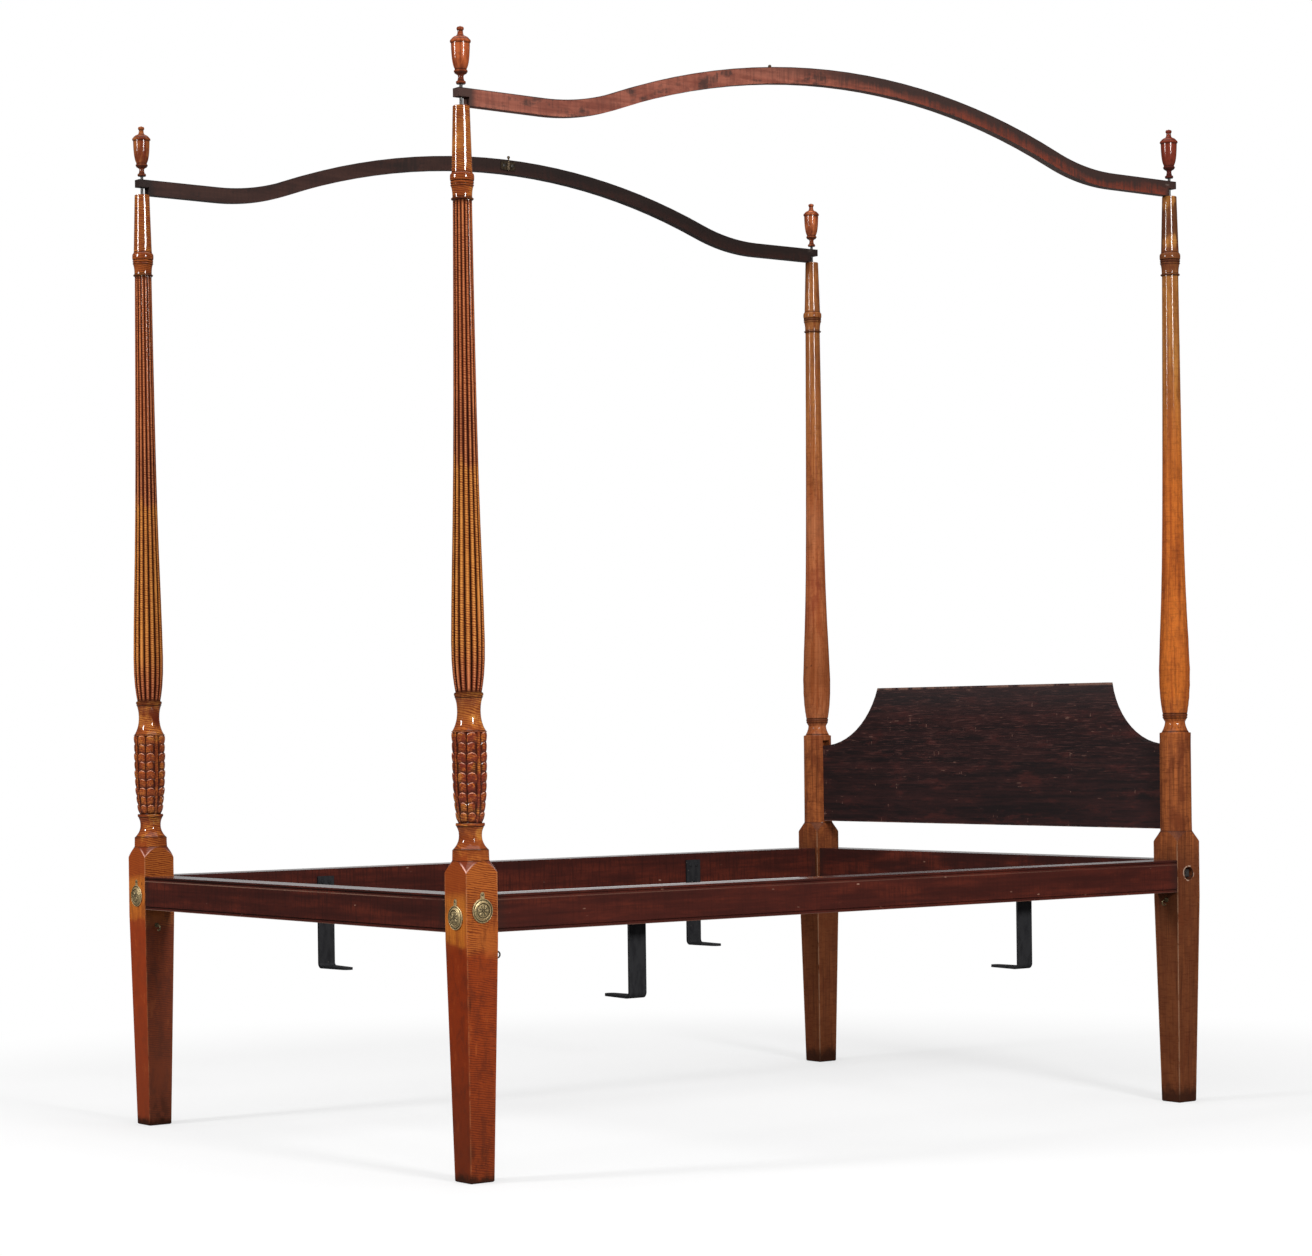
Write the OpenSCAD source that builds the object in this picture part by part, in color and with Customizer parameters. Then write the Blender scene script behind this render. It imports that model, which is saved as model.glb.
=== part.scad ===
// Tall-post tester bed: four turned maple posts, square rails held by bolts, a scooped headboard,
// and two arched tester rails that sit on pins under urn finials.
// X runs across the bed, Y from foot (-) to head (+), Z up. The origin is on the floor at the centre.

/* [Bed] */
// Distance across the bed between the post centres
across = 1240; // [1000:10:1500]
// Distance along the bed between the post centres
along = 1936; // [1700:4:2200]
// Height of the top of the rails
rail_top = 547; // [500:1:570]
// Height of a rail section
rail_depth = 72; // [60:1:80]
// Thickness of a rail section
rail_thick = 64; // [50:1:68]
// Depth of the scratch bead along a rail's outer face
rail_bead = 1.6; // [0.8:0.2:2.4]
// Distance of the scratch bead from a rail's edge
rail_bead_in = 6; // [4:0.5:12]

/* [Rail joints] */
// Length of the stub tenon on a rail end
tenon_len = 12; // [8:1:18]
// Thickness of the stub tenon
tenon_thick = 30; // [20:1:36]
// Height of the stub tenon
tenon_high = 48; // [36:1:54]
// Height of the bolts that hold the foot and head rails
bolt_z_end = 517; // [512:1:521]
// Height of the bolts that hold the side rails
bolt_z_side = 504; // [498:1:505]
// Diameter of a bed bolt
bolt_d = 9; // [6:0.5:10]
// Length of a bed bolt under its head
bolt_len = 140; // [120:1:160]
// Width across the square bolt head
bolt_head_w = 16; // [12:0.5:17]
// Thickness of the bolt head
bolt_head_h = 8; // [5:0.5:10]
// Diameter of the bolt head's well in the post
well_d = 26; // [25:0.5:32]
// Depth of the bolt head's well in the post
well_depth = 14; // [11:0.5:18]
// Width of the square bed nut
nut_w = 24; // [18:0.5:26]
// Thickness of the bed nut
nut_t = 9; // [6:0.5:12]
// Distance of the nut from the rail end
nut_in = 58; // [40:1:60]

/* [Square part of the posts] */
// Width of the square block
block_w = 72; // [70:1:90]
// Width of the square leg at the floor
foot_w = 54; // [40:1:62]
// Height at which the leg starts to taper
taper_top = 462; // [300:2:466]
// Height of the top of the block
block_top = 612; // [600:1:660]
// Height of the rounded shoulder that the lathe cut on the block's corners
shoulder_h = 24; // [14:1:30]
// Worn edge under the foot
foot_wear = 2; // [1:0.5:4]

/* [Turned part of the posts] */
// Diameter of the collar above the block
collar_d = 71; // [62:1:72]
// Height of the collar above the block
collar_h = 21; // [12:1:30]
// Height of the lower cove of a foot post
low_cove_h = 44; // [30:1:60]
// Diameter of the lower cove's throat
low_cove_d = 44; // [38:1:50]
// Diameter of the ring under the carved vase
low_ring_d = 56; // [52:1:62]
// Height of the ring under the carved vase
low_ring_h = 6; // [4:0.5:9]
// Height of the carved vase
vase_h = 175; // [140:1:210]
// Diameter of the carved vase
vase_d = 68.5; // [60:0.5:71]
// Diameter of the carved vase at its foot
vase_foot_d = 51; // [48:0.5:55]
// Height of the cove above the vase
top_cove_h = 64; // [50:1:80]
// Diameter of the throat of the cove above the vase
top_cove_d = 45; // [40:1:50]
// Diameter of the ring under the shaft
shaft_ring_d = 56.5; // [53:0.5:62]
// Height of the ring under the shaft
shaft_ring_h = 9; // [6:0.5:14]
// Height of the plain barrel of a head post, which takes the headboard
barrel_h = 222; // [200:1:240]
// Diameter of the barrel at its top
barrel_d = 70; // [62:0.5:71]
// Height of the cove above the barrel
barrel_cove_h = 34; // [26:1:46]
// Height at which the top rings of every post start
crown_z = 1865; // [1760:1:1960]
// Height of the top rings
crown_h = 49; // [40:1:60]
// Diameter of the widest top ring
crown_d = 47; // [44:0.5:54]
// Length of the plain neck above the top rings
neck_h = 130; // [90:1:180]
// Diameter of the neck at its top
neck_top_d = 32.5; // [28:0.5:35]
// Diameter of the neck at its foot
neck_foot_d = 39.5; // [35:0.5:41]

/* [Shafts] */
// Diameter of a foot post's shaft at its foot
foot_shaft_foot_d = 50; // [46:0.5:52]
// Largest diameter of a foot post's shaft
foot_belly_d = 64.7; // [56:0.1:70]
// Height of the largest diameter above the shaft's foot
foot_belly_up = 96; // [70:1:130]
// Diameter of a head post's shaft at its foot
head_shaft_foot_d = 55; // [50:0.5:58]
// Largest diameter of a head post's shaft
head_belly_d = 69.5; // [60:0.1:74]
// Height of the largest diameter above a head shaft's foot
head_belly_up = 100; // [70:1:130]
// Diameter of every shaft at its top
shaft_top_d = 36.8; // [33:0.1:40]
// Number of reeds around a foot post's shaft
reeds = 16; // [12:1:18]
// Depth of the reeds as a share of the shaft's radius
reed_share = 0.11; // [0.06:0.01:0.15]

/* [Vase carving] */
// Number of paired leaf sprays around the vase
sprays = 4; // [3:1:4]
// Number of leaf tiers up the vase
tiers = 9; // [7:1:10]
// Depth of the leaf carving
leaf_relief = 3.6; // [1.5:0.1:5]

/* [Headboard] */
// Thickness of the headboard
board_t = 20; // [14:0.5:24]
// Height of the headboard's lower edge
board_bottom = 616; // [613:1:660]
// Height of the headboard where it meets the posts
board_side_top = 808; // [780:1:816]
// Height of the headboard's flat top
board_top = 951; // [900:1:1000]
// Radius of the scoop beside the left post
scoop_left_r = 224; // [160:2:260]
// Radius of the scoop beside the right post
scoop_right_r = 170; // [150:2:260]
// Depth of the headboard's slot in a head post
slot_depth = 22; // [14:1:28]
// Length of empty slot above the headboard
slot_over = 13; // [4:1:16]

/* [Tester rails] */
// Width of a tester rail across the bed
tester_w = 20; // [16:0.5:26]
// Height of a tester rail's section
tester_deep = 33; // [24:1:40]
// Rise of the arch above the flat ends
arch_rise = 137; // [80:1:180]
// Distance from the bed's middle to the end of the arch's curve
arch_half = 780; // [650:5:800]
// Share of the curve taken by the crown arc
crown_share = 0.777; // [0.6:0.01:0.85]
// Length of the half lap before and past the pin
lap_half = 12; // [9:0.5:15]
// Place of the fold in the right tester rail, along the bed
fold_right_y = -192; // [-260:2:60]
// Place of the fold in the left tester rail, along the bed
fold_left_y = 11; // [-60:1:60]
// Width of the saw cut between the two halves of a tester rail
fold_gap = 0.3; // [0.2:0.1:1]

/* [Tester hinges] */
// Length of one hinge leaf
leaf_len = 20; // [16:1:30]
// Height of a hinge leaf
leaf_h = 21; // [15:1:24]
// Thickness of a hinge leaf
leaf_t = 2; // [1.5:0.1:3]
// Diameter of the hinge pin
hinge_pin_d = 4; // [3:0.1:5]
// Wall of the hinge knuckle around its pin
knuckle_wall = 1.6; // [1.2:0.1:2.4]
// Diameter of the knob on the hinge pin
hinge_knob_d = 7; // [6:0.5:9]
// Diameter of a hinge screw's head
hinge_screw_head_d = 8; // [6:0.5:9]

/* [Post pins and finials] */
// Diameter of the steel pin in the top of a post
pin_d = 6.5; // [5:0.1:7]
// Depth of the pin in the post
pin_in_post = 60; // [40:1:80]
// Bare pin between a tester rail and its finial
pin_bare = 8; // [4:0.5:14]
// Depth of the pin in the finial
pin_in_finial = 34; // [20:1:45]
// Height of a finial
finial_h = 110; // [98:1:130]
// Diameter of the finial's lid
lid_d = 40; // [36:0.5:46]
// Diameter of the finial's urn
urn_d = 36; // [30:0.5:39]

/* [Bolt covers] */
// Diameter of a bolt cover
cover_d = 47; // [40:0.5:54]
// Thickness of the brass sheet of a bolt cover
cover_sheet = 1.2; // [0.8:0.1:2]
// Height of the cover's dome above the post
cover_dome = 5; // [3.5:0.1:7]
// Distance of the cover's pin above its centre
cover_ear_up = 31; // [29:0.5:34]
// Diameter of the cover's pin
cover_pin_d = 2.6; // [2:0.1:3.2]
// Diameter of the head of the cover's pin
cover_pin_head_d = 5.4; // [4.5:0.1:7]

/* [Angle irons] */
// Width of an angle iron
iron_w = 42; // [30:1:50]
// Thickness of an angle iron
iron_t = 5.5; // [4:0.5:8]
// Height of the upper end of an angle iron
iron_top = 531; // [520:1:540]
// Height of the underside of an angle iron's foot
iron_bottom = 322; // [280:1:380]
// Length of an angle iron's foot from the rail
iron_reach = 102; // [70:1:120]
// Radius of the outside of an angle iron's bend
iron_bend = 12; // [9:0.5:20]
// Width of the rounded tip of an angle iron's foot
iron_tip_w = 26; // [18:1:29]
// Place along the bed of the right foot-end iron
iron_right_foot_y = -549; // [-700:1:-400]
// Place along the bed of the right head-end iron
iron_right_head_y = 518; // [400:1:700]
// Place along the bed of the left foot-end iron
iron_left_foot_y = -537; // [-700:1:-400]
// Place along the bed of the left head-end iron
iron_left_head_y = 531; // [400:1:700]
// Diameter of an iron's screws
iron_screw_d = 5; // [4:0.1:6]
// Diameter of an iron's screw heads
iron_screw_head_d = 9; // [8:0.5:12]

/* [Small hooks] */
// Height of the brass hooks on the legs
hook_z = 440; // [400:1:450]
// Thickness of the hook's wire
hook_wire_d = 3; // [2:0.1:4]
// Radius of the hook's bend
hook_r = 6; // [4:0.5:9]
// Diameter of the hook's rose against the leg
hook_rose_d = 10; // [8:0.5:14]

/* [Hidden] */
$fn = 48;

// Clearances: a glued or bolted seat, a running fit, a loose sliding fit, and the gap under a moving piece
seat = 0.25;
run = 0.08;
loose = 0.35;
rest_gap = 0.3;
// How far one solid of a piece runs into the next, and how far a cutter runs past a face
bite = 2;
past = 1;

half_across = across / 2;
half_along = along / 2;
half_block = block_w / 2;
rail_mid_z = rail_top - rail_depth / 2;
// Distance of a rail's middle plane outside the post centres, with its face flush with the block
rail_out = half_block - rail_thick / 2;

// Heights of the turned marks, worked up from the block
collar_top = block_top + collar_h;
low_ring_z = collar_top + low_cove_h;
vase_z = low_ring_z + low_ring_h;
vase_top = vase_z + vase_h;
shaft_ring_z = vase_top + top_cove_h;
foot_shaft_z = shaft_ring_z + shaft_ring_h;
barrel_top = block_top + barrel_h;
head_ring_z = barrel_top + barrel_cove_h;
head_shaft_z = head_ring_z + shaft_ring_h;
crown_top = crown_z + crown_h;
post_top = crown_top + neck_h;

tester_bottom = post_top + rest_gap;
tester_top = tester_bottom + tester_deep;
finial_z = tester_top + pin_bare;
pin_top = finial_z + pin_in_finial;

corners = [[1, -1], [-1, -1], [1, 1], [-1, 1]];

// Curves. A point of an outline is [distance, height].
function mix(a, b, t) = a + (b - a) * t;
function bezier(a, b, c, d, n) = [for (i = [0:n]) let (t = i / n, s = 1 - t)
    s * s * s * a + 3 * s * s * t * b + 3 * s * t * t * c + t * t * t * d];
// Quarter of an ellipse from a to b; it leaves a level and reaches b upright, or the other way round
function round_out(a, b, n, level_first = true) = [for (i = [0:n]) let (w = 90 * i / n)
    level_first ? [mix(a[0], b[0], sin(w)), mix(a[1], b[1], 1 - cos(w))]
                : [mix(a[0], b[0], 1 - cos(w)), mix(a[1], b[1], sin(w))]];
// A half-round bead standing out from radius r between two heights
function bead(r, z0, z1, out, n = 6) = [for (i = [0:n]) let (w = 180 * i / n)
    [r + out * sin(w), mix(z0, z1, (1 - cos(w)) / 2)]];

// Radius of a shaft: it swells to its belly, then thins to the top rings.
// fall = [share left to a straight taper, place of the steepest fall, its sharpness]
foot_fall = [0.5, 0.33, 2.6];
head_fall = [0.4, 0.2, 1.9];
swell_power = 2.65;
function shaft_up(v, fall) = (1 - v) * (fall[0] + (1 - fall[0]) / (1 + pow(v / fall[1], fall[2])));
function shaft_r(z, z0, foot_d, belly_d, belly_up, fall) =
    z < z0 + belly_up
        ? belly_d / 2 - (belly_d - foot_d) / 2 * pow(max(0, 1 - (z - z0) / belly_up), swell_power)
        : mix(shaft_top_d, belly_d, shaft_up((z - z0 - belly_up) / (crown_z - z0 - belly_up), fall)) / 2;

// Places where a shaft's outline is taken, as shares of its lower and its upper stretch
swell_marks = [0, 0.07, 0.18, 0.36, 0.64];
fall_marks = [0, 0.08, 0.17, 0.27, 0.38, 0.51, 0.66, 0.82, 1];
function shaft_heights(z0, belly_up) = concat(
    [for (s = swell_marks) z0 + s * belly_up],
    [for (v = fall_marks) mix(z0 + belly_up, crown_z, v)]);

// A small step, or the rounding of a turned edge
fillet = 1;
function after_first(list) = [for (i = [1:len(list) - 1]) list[i]];

// Outline of the rings at the top of every post and the neck above them: a thin ring, a cove, two
// narrow beads with grooves between, and a broad band that sweeps into the neck
crown_ring_h = 4.5;
crown_ring_out = 2.8;
crown_throat_r = shaft_top_d / 2 + fillet / 2;
crown_cove_h = 22;
crown_cove_pull = [0.3, 0.62];
crown_bead_h = [3, 4.8];
crown_bead_out = 1.2;
crown_groove_h = 1.2;
neck_sweep_h = 6;
function crown_outline() = let (
        r = crown_d / 2,
        neck_r = neck_foot_d / 2,
        bead_r = r - fillet - crown_bead_out,
        cove_z = crown_z + crown_ring_h,
        low_bead_z = cove_z + crown_cove_h,
        high_bead_z = low_bead_z + crown_bead_h[0] + crown_groove_h,
        band_z = high_bead_z + crown_bead_h[1] + crown_groove_h)
    concat(
        [[crown_throat_r, crown_z]],
        bead(crown_throat_r, crown_z, cove_z, crown_ring_out),
        bezier([crown_throat_r, cove_z + fillet],
            [crown_throat_r, cove_z + crown_cove_pull[0] * crown_cove_h],
            [crown_throat_r, cove_z + crown_cove_pull[1] * crown_cove_h], [bead_r, low_bead_z], 6),
        after_first(bead(bead_r, low_bead_z, low_bead_z + crown_bead_h[0], crown_bead_out, 4)),
        [[bead_r - fillet / 2, high_bead_z - crown_groove_h / 2]],
        bead(bead_r, high_bead_z, high_bead_z + crown_bead_h[1], crown_bead_out, 4),
        [[bead_r - fillet, band_z - crown_groove_h / 2]],
        bezier([r - fillet, band_z], [r, band_z + 2 * fillet],
            [r, crown_top - 2 * fillet], [r - fillet, crown_top], 5),
        after_first(bezier([r - fillet, crown_top], [r - 2 * fillet, crown_top + fillet],
            [neck_r, crown_top + neck_sweep_h / 3], [neck_r, crown_top + neck_sweep_h], 5)),
        [[neck_top_d / 2, post_top - fillet], [neck_top_d / 2 - fillet, post_top]]);

// Square block and tapering leg, with the corners of the block rounded over by the lathe
module leg_side() {
    polygon([
        [-foot_w / 2 + foot_wear, 0], [foot_w / 2 - foot_wear, 0], [foot_w / 2, foot_wear],
        [half_block, taper_top], [half_block, block_top],
        [-half_block, block_top], [-half_block, taper_top], [-foot_w / 2, foot_wear]]);
}

// The shoulder's curve starts at the block's corner and ends at the collar. Each of its two middle
// points is a share of the way in and a share of the height below the block's top.
shoulder_pull = [[0.12, 0.82], [0.69, 0.34]];
function shoulder_point(p) = [mix(half_block * sqrt(2), collar_d / 2, p[0]), block_top - p[1] * shoulder_h];
module square_leg() {
    corner_r = half_block * sqrt(2);
    intersection() {
        rotate([90, 0, 0]) linear_extrude(block_w, center = true) leg_side();
        rotate([90, 0, 90]) linear_extrude(block_w, center = true) leg_side();
        rotate_extrude() polygon(concat(
            [[0, -past], [corner_r + past, -past], [corner_r + past, block_top - shoulder_h]],
            bezier(shoulder_point([0, 1]), shoulder_point(shoulder_pull[0]),
                shoulder_point(shoulder_pull[1]), shoulder_point([1, 0]), 8),
            [[0, block_top]]));
    }
}

// Holes in the block, as seen from the post's own centre. sx and sy point to the outside of the bed.
module block_cuts(sx, sy) {
    deep = tenon_len + seat;
    hole_r = bolt_d / 2 + loose;
    // Mortise and bolt hole of the side rail, which runs along Y
    translate([sx * rail_out, -sy * (half_block - deep / 2 + past / 2), rail_mid_z])
        cube([tenon_thick + 2 * seat, deep + past, tenon_high + 2 * seat], center = true);
    translate([0, 0, bolt_z_side]) rotate([90, 0, 0])
        cylinder(h = block_w + 2 * past, r = hole_r, center = true);
    translate([0, sy * (half_block - well_depth / 2 + past / 2), bolt_z_side])
        rotate([90, 0, 0]) cylinder(h = well_depth + past, d = well_d, center = true);
    // Mortise and bolt hole of the foot or head rail, which runs along X
    translate([-sx * (half_block - deep / 2 + past / 2), sy * rail_out, rail_mid_z])
        cube([deep + past, tenon_thick + 2 * seat, tenon_high + 2 * seat], center = true);
    translate([0, 0, bolt_z_end]) rotate([0, 90, 0])
        cylinder(h = block_w + 2 * past, r = hole_r, center = true);
    translate([sx * (half_block - well_depth / 2 + past / 2), 0, bolt_z_end])
        rotate([0, 90, 0]) cylinder(h = well_depth + past, d = well_d, center = true);
}

module pin_hole() {
    translate([0, 0, post_top - pin_in_post]) cylinder(h = pin_in_post + past, r = pin_d / 2 + run);
}

// Small holes for the bolt covers' pins, in the two outer faces of a foot post
cover_pin_deep = 18;
module cover_pin_holes(sx, sy) {
    for (face = [[sx, 0, bolt_z_end], [0, sy, bolt_z_side]])
        translate([face[0] * half_block, face[1] * half_block, face[2] + cover_ear_up])
            rotate([0, face[0] != 0 ? 90 : 0, 0]) rotate([face[1] != 0 ? 90 : 0, 0, 0])
                cylinder(h = 2 * cover_pin_deep, r = cover_pin_d / 2 + run, center = true);
}

// A cove that narrows from a wide mouth to its throat and flares again to a ring above it. The
// pulls are the heights of its curve's points, as shares of the cove's height.
cove_mouth = 0.8;
cove_pull = [0.12, 0.3, 0.6, 0.82];
function cove(wide_r, throat_r, ring_r, z, h) = concat(
    bezier([wide_r - 2 * fillet, z], [wide_r * cove_mouth, z + cove_pull[0] * h],
        [throat_r, z + cove_pull[1] * h], [throat_r, z + cove_pull[2] * h], 8),
    after_first(bezier([throat_r, z + cove_pull[2] * h], [throat_r, z + cove_pull[3] * h],
        [ring_r - 3 * fillet, z + h - 4 * fillet], [ring_r - 2 * fillet, z + h - fillet], 4)));

// Turned solids between the block and the shaft of a foot post
function foot_turning() = let (
        collar_r = collar_d / 2,
        ring_r = low_ring_d / 2)
    concat(
        [[0, block_top - shoulder_h / 2], [collar_r - fillet, block_top - shoulder_h / 2]],
        [[collar_r, block_top], [collar_r - fillet / 2, collar_top - fillet],
            [collar_r - 2 * fillet, collar_top]],
        after_first(cove(collar_r, low_cove_d / 2, ring_r, collar_top, low_cove_h)),
        bead(ring_r - fillet, low_ring_z, vase_z, fillet, 4),
        [[ring_r - 3 * fillet, vase_z], [0, vase_z]]);

vase_lip = 2;
function cove_turning() = let (
        lip_r = vase_d / 2,
        ring_r = shaft_ring_d / 2)
    concat(
        [[0, vase_top - vase_lip], [lip_r - fillet / 2, vase_top - vase_lip],
            [lip_r, vase_top - vase_lip / 2]],
        cove(lip_r, top_cove_d / 2, ring_r, vase_top, top_cove_h),
        [[ring_r - fillet / 2, shaft_ring_z + fillet], [ring_r - 2 * fillet, shaft_ring_z + 2 * fillet]],
        after_first(bead(ring_r - 2 * fillet, shaft_ring_z + 2 * fillet, foot_shaft_z, 2 * fillet, 5)),
        [[0, foot_shaft_z]]);

// Triangles of a closed stack of rings; each ring has the same number of points
function stack_faces(rings, around) = concat(
    [for (i = [0:rings - 2]) for (j = [0:around - 1]) let (k = (j + 1) % around)
        [i * around + j, (i + 1) * around + j, (i + 1) * around + k]],
    [for (i = [0:rings - 2]) for (j = [0:around - 1]) let (k = (j + 1) % around)
        [i * around + j, (i + 1) * around + k, i * around + k]],
    [for (j = [1:around - 2]) [0, j, j + 1]],
    [for (j = [1:around - 2]) let (b = (rings - 1) * around) [b, b + j + 1, b + j]]);

// Reeded shaft: rounded ribs run its whole length and die out against the rings at each end
reed_marks = [0, 0.12, 0.36, 0.64, 0.88];
reed_fade_h = 10;
reed_end_share = 0.25;
module reeded_shaft() {
    heights = concat([foot_shaft_z - bite], shaft_heights(foot_shaft_z, foot_belly_up), [crown_z + bite]);
    around = reeds * len(reed_marks);
    points = [for (z = heights)
        let (
            zc = min(max(z, foot_shaft_z), crown_z),
            r = shaft_r(zc, foot_shaft_z, foot_shaft_foot_d, foot_belly_d, foot_belly_up, foot_fall),
            fade = min(1, (zc - foot_shaft_z) / reed_fade_h + reed_end_share),
            deep = r * reed_share * fade)
        for (i = [0:reeds - 1]) for (m = reed_marks)
            let (
                w = 360 * (i + m) / reeds,
                rr = r - deep * (1 - sqrt(1 - pow(2 * m - 1, 2))))
            [rr * cos(w), rr * sin(w), z]];
    polyhedron(points, stack_faces(len(heights), around));
}

// Carved vase: sprays of paired leaves climb between stems. Each leaf is a scale that stands out
// towards its rounded tip, and the grid follows the tips, so their edges stay crisp.
// Places across half a spray, from the middle of a stem to the groove between the two leaves
spray_marks = [0, 0.1, 0.16, 0.22, 0.38, 0.6, 0.82, 0.94];
stem_mark = 0.16;
leaf_rows = [[0, 0.36], [0.3, 0.84], [0.62, 1], [0.9, 0.88]];
leaf_droop = 0.3;
stem_relief = 0.62;
stem_round = 0.8;
lip_lift = 0.2;
vase_power = 4;
// Every second tier has narrower leaves, which stay closer to the groove
narrow_mark = 0.3;
narrow_lift = 0.86;
function across_leaf(m, from) = m <= from ? 1 : abs(2 * (m - from) / (1 - from) - 1);
function leaf_share(m, from, lift) = m < stem_mark
    ? stem_relief * sqrt(1 - pow(m / stem_mark * stem_round, 2))
    : lift * sqrt(max(0, 1 - pow(across_leaf(m, from), 2)));
module carved_vase() {
    tier_h = (vase_h - vase_lip - bite) / tiers;
    half_marks = len(spray_marks);
    all_marks = concat(spray_marks, [1], [for (i = [half_marks - 1:-1:1]) 2 - spray_marks[i]]);
    around = sprays * len(all_marks);
    // A row is [height, lift, droop towards the leaf's edges, where the leaf starts]
    rows = concat(
        [[-bite, 0, 0, stem_mark]],
        [for (k = [0:tiers - 1]) for (f = leaf_rows) let (wide = k % 2 == 0)
            [(k + f[0]) * tier_h + bite, f[1] * (wide ? 1 : narrow_lift),
                leaf_droop * tier_h * min(1, k + f[0]), wide ? stem_mark : narrow_mark]],
        [[vase_h - vase_lip / 2, lip_lift, 0, stem_mark]]);
    points = [for (row = rows)
        for (i = [0:sprays - 1]) for (m = all_marks)
            let (
                half_m = m > 1 ? 2 - m : m,
                w = 360 / sprays * (i + m / 2),
                up = row[0] - row[2] * pow(across_leaf(half_m, stem_mark), 2),
                t = min(1, max(0, up / vase_h)),
                base = vase_d / 2 - (vase_d - vase_foot_d) / 2 * pow(1 - t, vase_power),
                r = base - leaf_relief * (1 - leaf_share(half_m, row[3], row[1])))
            [r * cos(w), r * sin(w), vase_z + up]];
    polyhedron(points, stack_faces(len(rows), around));
}

module foot_post(sx, sy) {
    translate([sx * half_across, sy * half_along, 0]) union() {
        difference() {
            union() {
                square_leg();
                rotate_extrude() polygon(foot_turning());
            }
            block_cuts(sx, sy);
            cover_pin_holes(sx, sy);
            hook_holes(sx, sy);
        }
        rotate_extrude() polygon(cove_turning());
        difference() {
            rotate_extrude() polygon(concat([[0, crown_z]], crown_outline(), [[0, post_top]]));
            pin_hole();
        }
        reeded_shaft();
        carved_vase();
    }
}

// Head post: plain barrel for the headboard, then a cove, a ring and a plain swelling shaft
barrel_cove_pull = [0.2, 0.5, 0.72];
function head_outline() = let (
        barrel_r = barrel_d / 2,
        ring_r = shaft_ring_d / 2,
        throat_r = top_cove_d / 2)
    concat(
        [[0, block_top - shoulder_h / 2], [collar_d / 2 - fillet, block_top - shoulder_h / 2]],
        [[collar_d / 2, block_top], [barrel_r, barrel_top - fillet], [barrel_r - fillet, barrel_top]],
        bezier([barrel_r - 4 * fillet, barrel_top],
            [throat_r + 4 * fillet, barrel_top + barrel_cove_pull[0] * barrel_cove_h],
            [throat_r, barrel_top + barrel_cove_pull[1] * barrel_cove_h],
            [throat_r, barrel_top + barrel_cove_pull[2] * barrel_cove_h], 7),
        [[ring_r - fillet, head_ring_z - fillet], [ring_r, head_ring_z + fillet],
            [ring_r - 2 * fillet, head_ring_z + 2 * fillet]],
        after_first(bead(ring_r - 2 * fillet, head_ring_z + 2 * fillet, head_shaft_z, 2 * fillet, 5)),
        [for (z = shaft_heights(head_shaft_z, head_belly_up))
            [shaft_r(z, head_shaft_z, head_shaft_foot_d, head_belly_d, head_belly_up, head_fall), z]],
        after_first(crown_outline()),
        [[0, post_top]]);

module head_post(sx, sy) {
    slot_end = barrel_d / 2 - slot_depth;
    slot_top = board_side_top + slot_over;
    translate([sx * half_across, sy * half_along, 0]) difference() {
        union() {
            square_leg();
            rotate_extrude() polygon(head_outline());
        }
        block_cuts(sx, sy);
        pin_hole();
        translate([-sx * (slot_end + half_block / 2 + past), 0, (board_bottom + slot_top) / 2])
            cube([half_block + 2 * past, board_t + 2 * seat, slot_top - board_bottom + 2 * seat],
                center = true);
        hook_holes(sx, sy);
    }
}

// Rails. The length runs along X here, with the outer face at -Y; side rails are turned to run along Y.
module rail_blank(length, bolt_z) {
    body_len = length - 2 * seat;
    bead_z = rail_depth / 2 - rail_bead_in;
    slot_w = nut_w + 2 * loose;
    slot_t = nut_t + 2 * loose;
    bolt_up = bolt_z - rail_mid_z;
    bolt_in_rail = bolt_len - block_w + well_depth;
    difference() {
        union() {
            cube([body_len, rail_thick, rail_depth], center = true);
            cube([body_len + 2 * tenon_len, tenon_thick, tenon_high], center = true);
        }
        for (s = [-1, 1]) {
            translate([0, -rail_thick / 2, s * bead_z]) rotate([0, 90, 0])
                cylinder(h = length + 2 * past, r = rail_bead, center = true, $fn = 4);
            // Hole for the bed bolt, and the nut's slot, open below
            translate([s * (length / 2 - bolt_in_rail / 2), rail_out, bolt_up]) rotate([0, 90, 0])
                cylinder(h = bolt_in_rail + 2 * tenon_len, r = bolt_d / 2 + loose, center = true);
            translate([s * (length / 2 - nut_in), rail_out, (bolt_up + slot_w / 2 - rail_depth / 2) / 2])
                cube([slot_t, slot_w, bolt_up + slot_w / 2 + rail_depth / 2 + past], center = true);
        }
    }
}

module end_rail(sy) {
    translate([0, sy * (half_along + rail_out), rail_mid_z])
        rotate([0, 0, sy > 0 ? 180 : 0]) rail_blank(across - block_w, bolt_z_end);
}

module side_rail(sx, iron_places) {
    difference() {
        translate([sx * (half_across + rail_out), 0, rail_mid_z])
            rotate([0, 0, sx * 90]) rail_blank(along - block_w, bolt_z_side);
        for (y = iron_places) iron_screw_places(sx, y) translate([0, 0, -iron_screw_len])
            cylinder(h = iron_screw_len + past, r = iron_screw_d / 2 + run);
    }
}

// Headboard: one wide plank, its ends held in slots in the head posts
scoop_steps = 12;
module board_outline() {
    face = half_across - collar_d / 2;
    end = half_across - barrel_d / 2 + slot_depth - seat;
    rise = board_top - board_side_top;
    function scoop(r) = [for (i = [0:scoop_steps]) let (w = acos((r - rise) / r) * i / scoop_steps)
        [face - r * sin(w), board_side_top + r * (1 - cos(w))]];
    left = scoop(scoop_left_r);
    right = scoop(scoop_right_r);
    polygon(concat(
        [[-end, board_bottom], [end, board_bottom], [end, board_side_top]],
        right,
        [for (i = [len(left) - 1:-1:0]) [-left[i][0], left[i][1]]],
        [[-end, board_side_top]]));
}

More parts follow.
